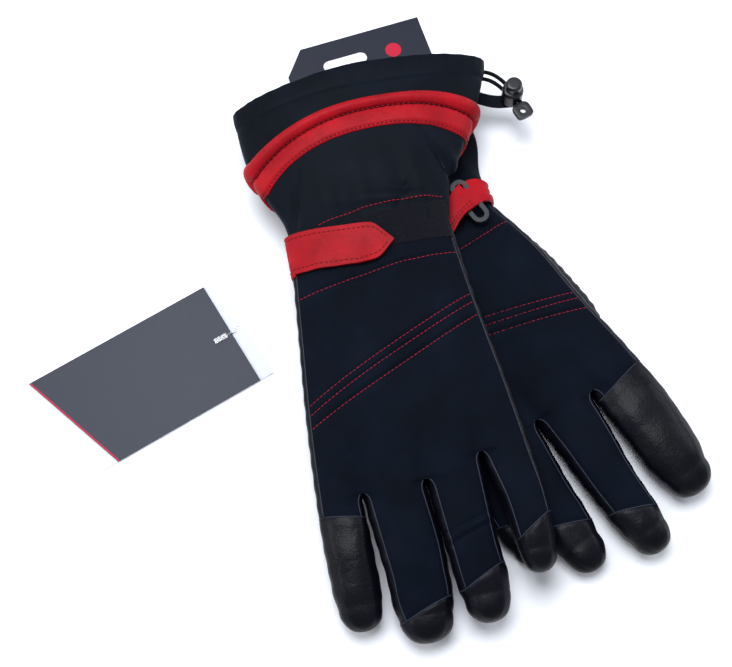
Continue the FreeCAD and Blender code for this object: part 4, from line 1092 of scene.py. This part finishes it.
def left_strap():
    """Loop patch, pointed leather tab that peels, and the hooks under its tip."""
    u = np.linspace(-27, 44.5, 150)
    along = arch((17, -14.4, 0.0022, 0.0013), u)
    path, normals = LEFT.draped(u, along, 0.3 + cuff_fold(LEFT, along, u))
    above = stitch_piece("left_patch_stitching", [(path, normals, 1.9, 0.6, 0.22, 0.16)], RED_THREAD)
    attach(above, "left_glove")
    patch = laid_patch(LEFT, "loop_patch_pile", [(-20, -8.5), (45.5, -11.5), (44.5, 10.5), (-20, 10.5)],
                       0.3, LOOP, 1.0, 0.10)
    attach(patch, "left_glove")
    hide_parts("left_loop_patch")
    hooks = laid_patch(LEFT, "hook_patch_face", [(-14, -5), (2, -3.5), (1, 14), (-14, 12)],
                       1.5, HOOKS, 0.7, 0.05)
    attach(hooks, "left_strap")
    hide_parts("left_hook_patch")

    def outline(distance):
        return ((0.03 + distance / 10.5) ** -7 + 1) ** (-1 / 7)

    def lift(distance, r):
        return 3.0 + 0.35 * np.sin(distance * 0.16) - 1.1 * smoothstep((distance - 38) / 12) + 0 * r
    tab, distance, angle, middle, half = strap_ribbon(
        LEFT, "tab_leather", 60.0, 12.3, lambda u: 1.3 + 0.125 * (u + 42), 11.4, lift, outline)
    anchor, *_ = strap_ribbon(
        LEFT, "anchor_leather", 17.0, -43.0, lambda u: 0 * u + 2.4, 11.2,
        lambda distance, r: 1.5 - 0.5 * smoothstep(distance / 8) + 0 * r,
        lambda distance: np.ones_like(distance))
    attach(anchor, "left_glove")
    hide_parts("left_strap_anchor")
    keep = distance > 3.0
    lines = edge_stitching(LEFT, angle, middle, half, lift(distance, 0) + 0.4, 2.6, keep)
    thread = stitch_piece("left_tab_stitching", lines, DEEP_RED_THREAD)
    for piece in (tab, thread):
        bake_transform(piece)
    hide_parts("left_strap_tab")


def right_strap():
    """The creased anchor loop and the folded end of the tab, both through the oval ring."""
    patch = laid_patch(RIGHT, "loop_patch_pile", [(-20, -13), (44, -13), (44, 9), (-20, 9)],
                       0.1, LOOP, 0.8, 0.05)
    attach(patch, "right_glove")
    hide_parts("right_loop_patch", "right_hook_patch")

    def pleats(distance, r):
        off_ring = smoothstep((distance - 3) / 15)
        return 9.0 - 6.2 * off_ring + 0.8 * np.cos(r * 9.0 + 0.6) * np.exp(-distance / 30)
    anchor, *_ = strap_ribbon(RIGHT, "anchor_loop", 48.0, -38.5, lambda u: 0 * u - 0.3, 9.6,
                              pleats, lambda distance: np.ones_like(distance))
    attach(anchor, "right_glove")
    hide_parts("right_strap_anchor")
    corners = np.array([(-20.0, 1.0), (-39.6, -9.6), (-39.6, 9.0), (-17.0, 14.5)])
    a = np.linspace(0, 1, 40)[None, :, None]
    b = np.linspace(0, 1, 36)[:, None, None]
    plan = ((1 - b) * ((1 - a) * corners[0] + a * corners[1])
            + b * ((1 - a) * corners[3] + a * corners[2]))
    a, b = a[..., 0], b[..., 0]
    edge = np.minimum(np.minimum(a, 1 - a), np.minimum(b, 1 - b)) * 18
    rise = 3.2 + 6.4 * smoothstep(a * 1.25) + 0.6 * np.sqrt(np.clip(edge, 0, 1))
    rise = rise - 0.9 * bump((a - b * 0.8 - 0.1) * 12, 2.0)
    points, normals = RIGHT.draped(plan[..., 0], plan[..., 1], rise)
    kite = Cloth()
    kite.add(points, normals, 1.5)
    piece = kite.finish("right_tab_fold", RED_LEATHER)
    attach(piece, "right_glove")
    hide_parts("right_strap_tab")
    lines = []
    for row in (-4, -8):
        path, normals_row = points[row, 2:-2] + normals[row, 2:-2] * 0.1 * MM, normals[row, 2:-2]
        lines.append((path, normals_row, 1.5, 0.7, 0.28, 0.2))
    thread = stitch_piece("right_tab_stitching", lines, DEEP_RED_THREAD)
    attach(thread, "right_glove")


# ---- thumbs --------------------------------------------------------------------------------------
def thumb_piece(glove, rows, material):
    """A leather stall: a flattened loop carried along the hand's edge, rounded at both ends."""
    alongs = [row[0] for row in rows]
    angle = np.linspace(0, 2 * math.pi, 72, endpoint=False)
    along = np.linspace(alongs[0], alongs[-1], 90)
    outer, inner, low, high = np.moveaxis(smooth_curve(alongs, [row[1:] for row in rows], along), -1, 0)
    share = np.linspace(-1, 1, 90)
    closing = (1 - np.abs(share) ** 6) ** 0.5
    half = (inner - outer) / 2
    u = ((inner + outer) / 2)[:, None] + (half * closing)[:, None] * signed_power(np.cos(angle), 0.85)
    pucker = 0.25 * np.sin(along * 0.9)[:, None] * np.cos(angle)[None] ** 2
    z = (((low + high) / 2)[:, None]
         + ((high - low) / 2 * closing)[:, None] * signed_power(np.sin(angle), 0.85)[None])
    points = glove.place(u + pucker, np.broadcast_to(along[:, None], u.shape), z)
    normals = unit(np.cross(np.roll(points, -1, 1) - np.roll(points, 1, 1),
                            np.gradient(points, axis=0)))
    normals = away_from(points, normals, points.mean((0, 1)))
    stall = Cloth()
    stall.add(points, normals, wrap=True)
    piece = stall.finish(f"{glove.side}_thumb_stall", material)
    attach(piece, f"{glove.side}_glove")
    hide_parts(f"{glove.side}_thumb")


# ---- drawcord, toggle and cards ------------------------------------------------------------------
# The toggle's centre and turn, the cords' height, and the sizes of the pieces round it.
TOGGLE = (86.5 + ORIGIN_SHIFT[0], 141.8 + ORIGIN_SHIFT[1])
TOGGLE_TURN = math.radians(-61.4)
CORD_HEIGHT = 24.0
CORD_RADIUS = 1.2
STRAND_ASIDE = 1.8
TAB_REACH = 6.8
BARREL_RADIUS, BARREL_TALL, BARREL_BELOW = 6.3, 12.0, 5.0
CAP_RADIUS, CAP_FOOT, CAP_TOP = 4.8, 11.2, 17.9


def by_toggle(x, y, z):
    """A point in the toggle's frame, with x along the cords, in the set's frame in metres."""
    return np.stack(np.broadcast_arrays(
        TOGGLE[0] + math.cos(TOGGLE_TURN) * x - math.sin(TOGGLE_TURN) * y,
        TOGGLE[1] + math.sin(TOGGLE_TURN) * x + math.cos(TOGGLE_TURN) * y, z), -1) * MM


def drawcord(node, start, bend, side):
    """One strand on its own smooth line, out of the hem, round a bend and through the toggle."""
    name = f"{node}_elastic"
    first = np.array([start[0] + ORIGIN_SHIFT[0], start[1] + ORIGIN_SHIFT[1], CORD_HEIGHT]) * MM
    aside = side * STRAND_ASIDE
    points = [first, by_toggle(-bend, aside, CORD_HEIGHT), by_toggle(TAB_REACH, aside, CORD_HEIGHT)]
    data = bpy.data.curves.new(name, "CURVE")
    data.dimensions = "3D"
    data.bevel_depth = CORD_RADIUS * MM
    data.bevel_resolution = 5
    spline = data.splines.new("NURBS")
    spline.points.add(len(points) - 1)
    for place, point in zip(spline.points, points):
        place.co = (*point, 1)
    spline.order_u = 3
    spline.use_endpoint_u = True
    cord = bpy.data.objects.new(name, data)
    bpy.context.scene.collection.objects.link(cord)
    data.materials.append(CORD)
    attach(cord, "left_glove")
    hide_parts(node)


def turned(name, profile, material):
    """A profile of (radius, height) points turned about the toggle's upright axis."""
    profile = np.array(profile, float)
    angle = np.linspace(0, 2 * math.pi, 48, endpoint=False)
    points = by_toggle(profile[:, :1] * np.cos(angle), profile[:, :1] * np.sin(angle),
                       profile[:, 1:] + 0 * angle)
    slope = np.gradient(profile, axis=0)
    outward = unit(np.stack([slope[:, 1], -slope[:, 0]], -1))
    heading = by_toggle(np.cos(angle), np.sin(angle), 0 * angle) - by_toggle(0, 0, 0)
    normals = (outward[:, None, :1] * unit(heading)[None] + outward[:, None, 1:] * np.array([0, 0, 1.0]))
    made = Cloth()
    made.add(points, normals, wrap=True)
    return made.finish(name, material)


def rounded_profile(radius, low, high, round_off):
    """Half outline of a rounded disc from its under centre to its top centre."""
    turn = np.linspace(0, math.pi / 2, 7)
    under = [(radius - round_off + round_off * math.sin(a), low + round_off * (1 - math.cos(a)))
             for a in turn]
    over = [(radius - round_off + round_off * math.cos(a), high - round_off * (1 - math.sin(a)))
            for a in turn]
    return [(0.001, low), (radius * 0.5, low)] + under + over + [(radius * 0.5, high), (0.001, high)]


def toggle_pieces():
    """The spring toggle's round barrel and its button, both with softened edges."""
    low = CORD_HEIGHT - BARREL_BELOW
    body = turned("toggle_barrel", rounded_profile(BARREL_RADIUS, low, low + BARREL_TALL, 2.0),
                  BLACK_PLASTIC)
    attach(body, "toggle")
    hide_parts("toggle_body")
    cap = turned("toggle_cap", rounded_profile(CAP_RADIUS, low + CAP_FOOT, low + CAP_TOP, 1.5),
                 BLACK_PLASTIC)
    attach(cap, "toggle_button")
    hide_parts("toggle_button")
    return [body, cap]


def end_tab():
    """A flat moulded tab with a round hole: rings from the hole's edge to the outline and back."""
    length, half, hole, thick = 10.5, 5.5, 1.6, 3.0
    angle = np.linspace(0, 2 * math.pi, 96, endpoint=False)
    centre = length - 4.6
    reach_x = np.where(np.cos(angle) > 0, length - centre, centre)
    outline = np.stack([signed_power(np.cos(angle), 0.5) * reach_x,
                        signed_power(np.sin(angle), 0.5) * half
                        * (1 - 0.25 * np.clip(-np.cos(angle), 0, 1) ** 2)], -1)
    inner = np.stack([np.cos(angle) * hole, np.sin(angle) * hole], -1)
    turn = np.linspace(0, math.pi, 9)
    outer_ring = [(1 - 0.09 * (1 - math.sin(a)), thick / 2 * math.cos(a)) for a in turn]
    inner_ring = [(0.09 * (1 - math.sin(a)), -thick / 2 * math.cos(a)) for a in turn]
    stack = [(0.5, thick / 2)] + outer_ring + [(0.5, -thick / 2)] + inner_ring + [(0.5, thick / 2)]
    share = np.array([item[0] for item in stack])[:, None, None]
    level = np.array([item[1] for item in stack])[:, None] + 0 * angle
    plan = inner + share * (outline - inner)
    points = by_toggle(TAB_REACH + centre + plan[..., 0], plan[..., 1], CORD_HEIGHT + level)
    normals = unit(np.cross(np.roll(points, -1, 1) - np.roll(points, 1, 1),
                            np.gradient(points, axis=0)))
    top = normals[0, :, 2].mean()
    plate = Cloth()
    plate.add(points, normals * np.sign(top), wrap=True)
    piece = plate.finish("cord_end_tab", BLACK_PLASTIC)
    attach(piece, "left_glove")
    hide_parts("cord_tab")
    return piece


def hem_tape():
    """The flat woven tape from the hem, sagging and passing under the toggle."""
    a = np.linspace(0, 1, 60)[:, None]
    b = np.linspace(-1, 1, 13)[None, :]
    x = -23.5 + a * 28.0 + 0 * b
    y = b * 4.0 + 2.6 * (1 - a) ** 2 - 1.6 * np.sin(a * math.pi)
    z = 18.4 + 0.5 * np.sin(a * 9) * (1 - a) + 0 * b
    points = np.stack([TOGGLE[0] + x, TOGGLE[1] + y, z], -1) * MM
    normals = unit(np.cross(np.gradient(points, axis=0), np.gradient(points, axis=1)))
    normals = normals * np.sign(normals[..., 2].mean())
    tape = Cloth()
    tape.add(points, normals, 1.0)
    piece = tape.finish("hem_tape_webbing", NYLON)
    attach(piece, "left_glove")
    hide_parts("toggle_tape")


# The header's dot, and the swing tag's corner, turn and printed face.
DOT_CENTRE = (17 + ORIGIN_SHIFT[0], 188 + ORIGIN_SHIFT[1])
TAG_CORNER = (-94 + ORIGIN_SHIFT[0], 28 + ORIGIN_SHIFT[1])
TAG_TURN = math.radians(31.6)
TAG_TOP = 1.56


def dress_nodes():
    """The pieces that keep their CAD shapes get their materials: cards, fastener, ring, spring."""
    for name, material in (("header_card", SLATE_CARD), ("tag_front_leaf", TAG_SLATE),
                           ("tag_back_leaf", SHADED_WHITE_CARD), ("toggle_spring", STEEL),
                           ("tag_fastener", CLEAR), ("right_strap_ring", GREY_PLASTIC)):
        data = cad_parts[name].data
        data.materials.clear()
        data.materials.append(material)


def size_dot():
    """The header card's round size mark, a plain dot with nothing printed on it."""
    angle = np.linspace(0, 2 * math.pi, 48, endpoint=False)
    radius = np.array([0.0001, 2.5, 4.9, 4.95])[:, None]
    level = np.array([0.66, 0.66, 0.66, 0.6])[:, None]
    dot = Cloth()
    points = np.stack([DOT_CENTRE[0] + radius * np.cos(angle),
                       DOT_CENTRE[1] + radius * np.sin(angle), level + 0 * angle], -1) * MM
    dot.add(points, np.broadcast_to([0, 0, 1.0], points.shape), wrap=True)
    piece = dot.finish("header_size_dot", RED_INK)
    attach(piece, "header_card")


def tag_red_line():
    """The thin red line printed along the front leaf's slanted edge."""
    ends = np.array([(-111.7, -0.5), (-89.9, -65.9)])
    a = np.linspace(0, 1, 60)[None, :, None]
    plan = ends[0] + a * (ends[1] - ends[0]) + np.array([[[0.0, 0.0]], [[0.9, 0.0]]])
    x, y = plan[..., 0], plan[..., 1]
    points = np.stack([TAG_CORNER[0] + math.cos(TAG_TURN) * x - math.sin(TAG_TURN) * y,
                       TAG_CORNER[1] + math.sin(TAG_TURN) * x + math.cos(TAG_TURN) * y,
                       TAG_TOP + 0 * x], -1) * MM
    line = Cloth()
    line.add(points, np.broadcast_to([0, 0, 1.0], points.shape), 0.05)
    piece = line.finish("tag_red_edge", RED_INK)
    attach(piece, "tag_front")


# Arched lines round the cuffs: where the peak is across and along, and the two sides' curvature.
LEFT_MOUTH = (30, -103.8, 0.0011, 0.001)
RIGHT_MOUTH = (0, -96.5, 0, 0)
# Piping's top, gather line and band's lower edge, then how far across they reach.
LEFT_BAND = ((17, -80, 0.0038, 0.0028), (17, -72.3, 0.0042, 0.0034), (17, -60, 0.0041, 0.0036),
             (-57, 75))
RIGHT_BAND = ((0, -79, 0.0045, 0.0055), (0, -71, 0.0045, 0.0055), (0, -60, 0.0045, 0.0055),
              (-66, 58))
cuff_piece(LEFT, LEFT_MOUTH, 2.4)
cuff_piece(RIGHT, RIGHT_MOUTH, 2.0)
lining_piece(LEFT, LEFT_MOUTH)
lining_piece(RIGHT, RIGHT_MOUTH)
band_pieces(LEFT, *LEFT_BAND, -0.25, math.pi + 0.25)
band_pieces(RIGHT, *RIGHT_BAND, 0.3, math.pi - 1.0)
left_strap()
strap_ring(LEFT, -36.0, 0.0, 10.4, 4.0, 0.7, 0.9)
right_strap()
thumb_piece(LEFT, [(30, -40, -22, 0.4, 14), (60, -46, -22, 0.4, 13), (90, -46, -23, 0.4, 11),
                   (108, -42, -27, 0.4, 9)], BLACK_LEATHER)
thumb_piece(RIGHT, [(16, -57, -34, 0.3, 9), (40, -62.5, -34, 0.3, 13), (70, -65, -34, 0.3, 14),
                    (95, -65, -35, 0.3, 12), (114, -60, -42, 0.3, 8)], WORN_LEATHER)
on_cords = [end_tab(), *toggle_pieces()]
drawcord("drawcord_upper", (68.0, 157.3), 18.0, 1)
drawcord("drawcord_lower", (67.0, 152.6), 14.5, -1)
hem_tape()
dress_nodes()
size_dot()
tag_red_line()


# ---- floor, light and camera ---------------------------------------------------------------------
def make_floor():
    """A plain pale floor that goes on past the camera's view."""
    mesh = bpy.data.meshes.new("floor")
    reach = 3.0
    mesh.from_pydata([(-reach, -reach, 0), (reach, -reach, 0), (reach, reach, 0), (-reach, reach, 0)],
                     [], [(0, 1, 2, 3)])
    floor = bpy.data.objects.new("floor", mesh)
    bpy.context.scene.collection.objects.link(floor)
    mesh.materials.append(moulded("matt_white_sweep", "#f3f5f9", "#f8fafc", 0.9, 40.0))


def add_light(name, location, target, size, energy, colour):
    """A round soft light that looks at a target."""
    data = bpy.data.lights.new(name, "AREA")
    data.shape, data.size, data.energy = "DISK", size, energy
    data.color = linear(colour)[:3]
    lamp = bpy.data.objects.new(name, data)
    lamp.location = location
    direction = [t - l for t, l in zip(target, location)]
    lamp.rotation_euler = Vector(direction).to_track_quat("-Z", "Y").to_euler()
    bpy.context.scene.collection.objects.link(lamp)


def make_camera():
    """Looks down at 70 degrees above the horizon from 0.7 m, the angle the gloves are shown at."""
    data = bpy.data.cameras.new("camera")
    data.sensor_width, data.lens = 36.0, 60.25
    camera = bpy.data.objects.new("camera", data)
    target = Vector((0.0058, -0.0193, 0.0))
    height = math.radians(70)
    back = Vector((0, -math.cos(height), math.sin(height)))
    camera.location = target + back * 0.7
    camera.rotation_euler = (-back).to_track_quat("-Z", "Y").to_euler()
    bpy.context.scene.collection.objects.link(camera)
    bpy.context.scene.camera = camera


bpy.context.scene.view_settings.view_transform = "Standard"
make_floor()
add_light("top_softbox", (-0.15, 0.35, 1.3), (0, 0, 0), 0.9, 18.5, "#f6f9ff")
add_light("left_softbox", (-1.1, -0.1, 0.7), (0, 0, 0), 0.7, 6.5, "#ffffff")
add_light("right_fill", (1.0, 0.5, 0.6), (0, 0, 0), 0.6, 4.5, "#f2f6ff")
world = bpy.data.worlds.new("studio")
bpy.context.scene.world = world
world.use_nodes = True
world.node_tree.nodes["Background"].inputs["Color"].default_value = linear("#f4f7ff")
world.node_tree.nodes["Background"].inputs["Strength"].default_value = 0.5
make_camera()
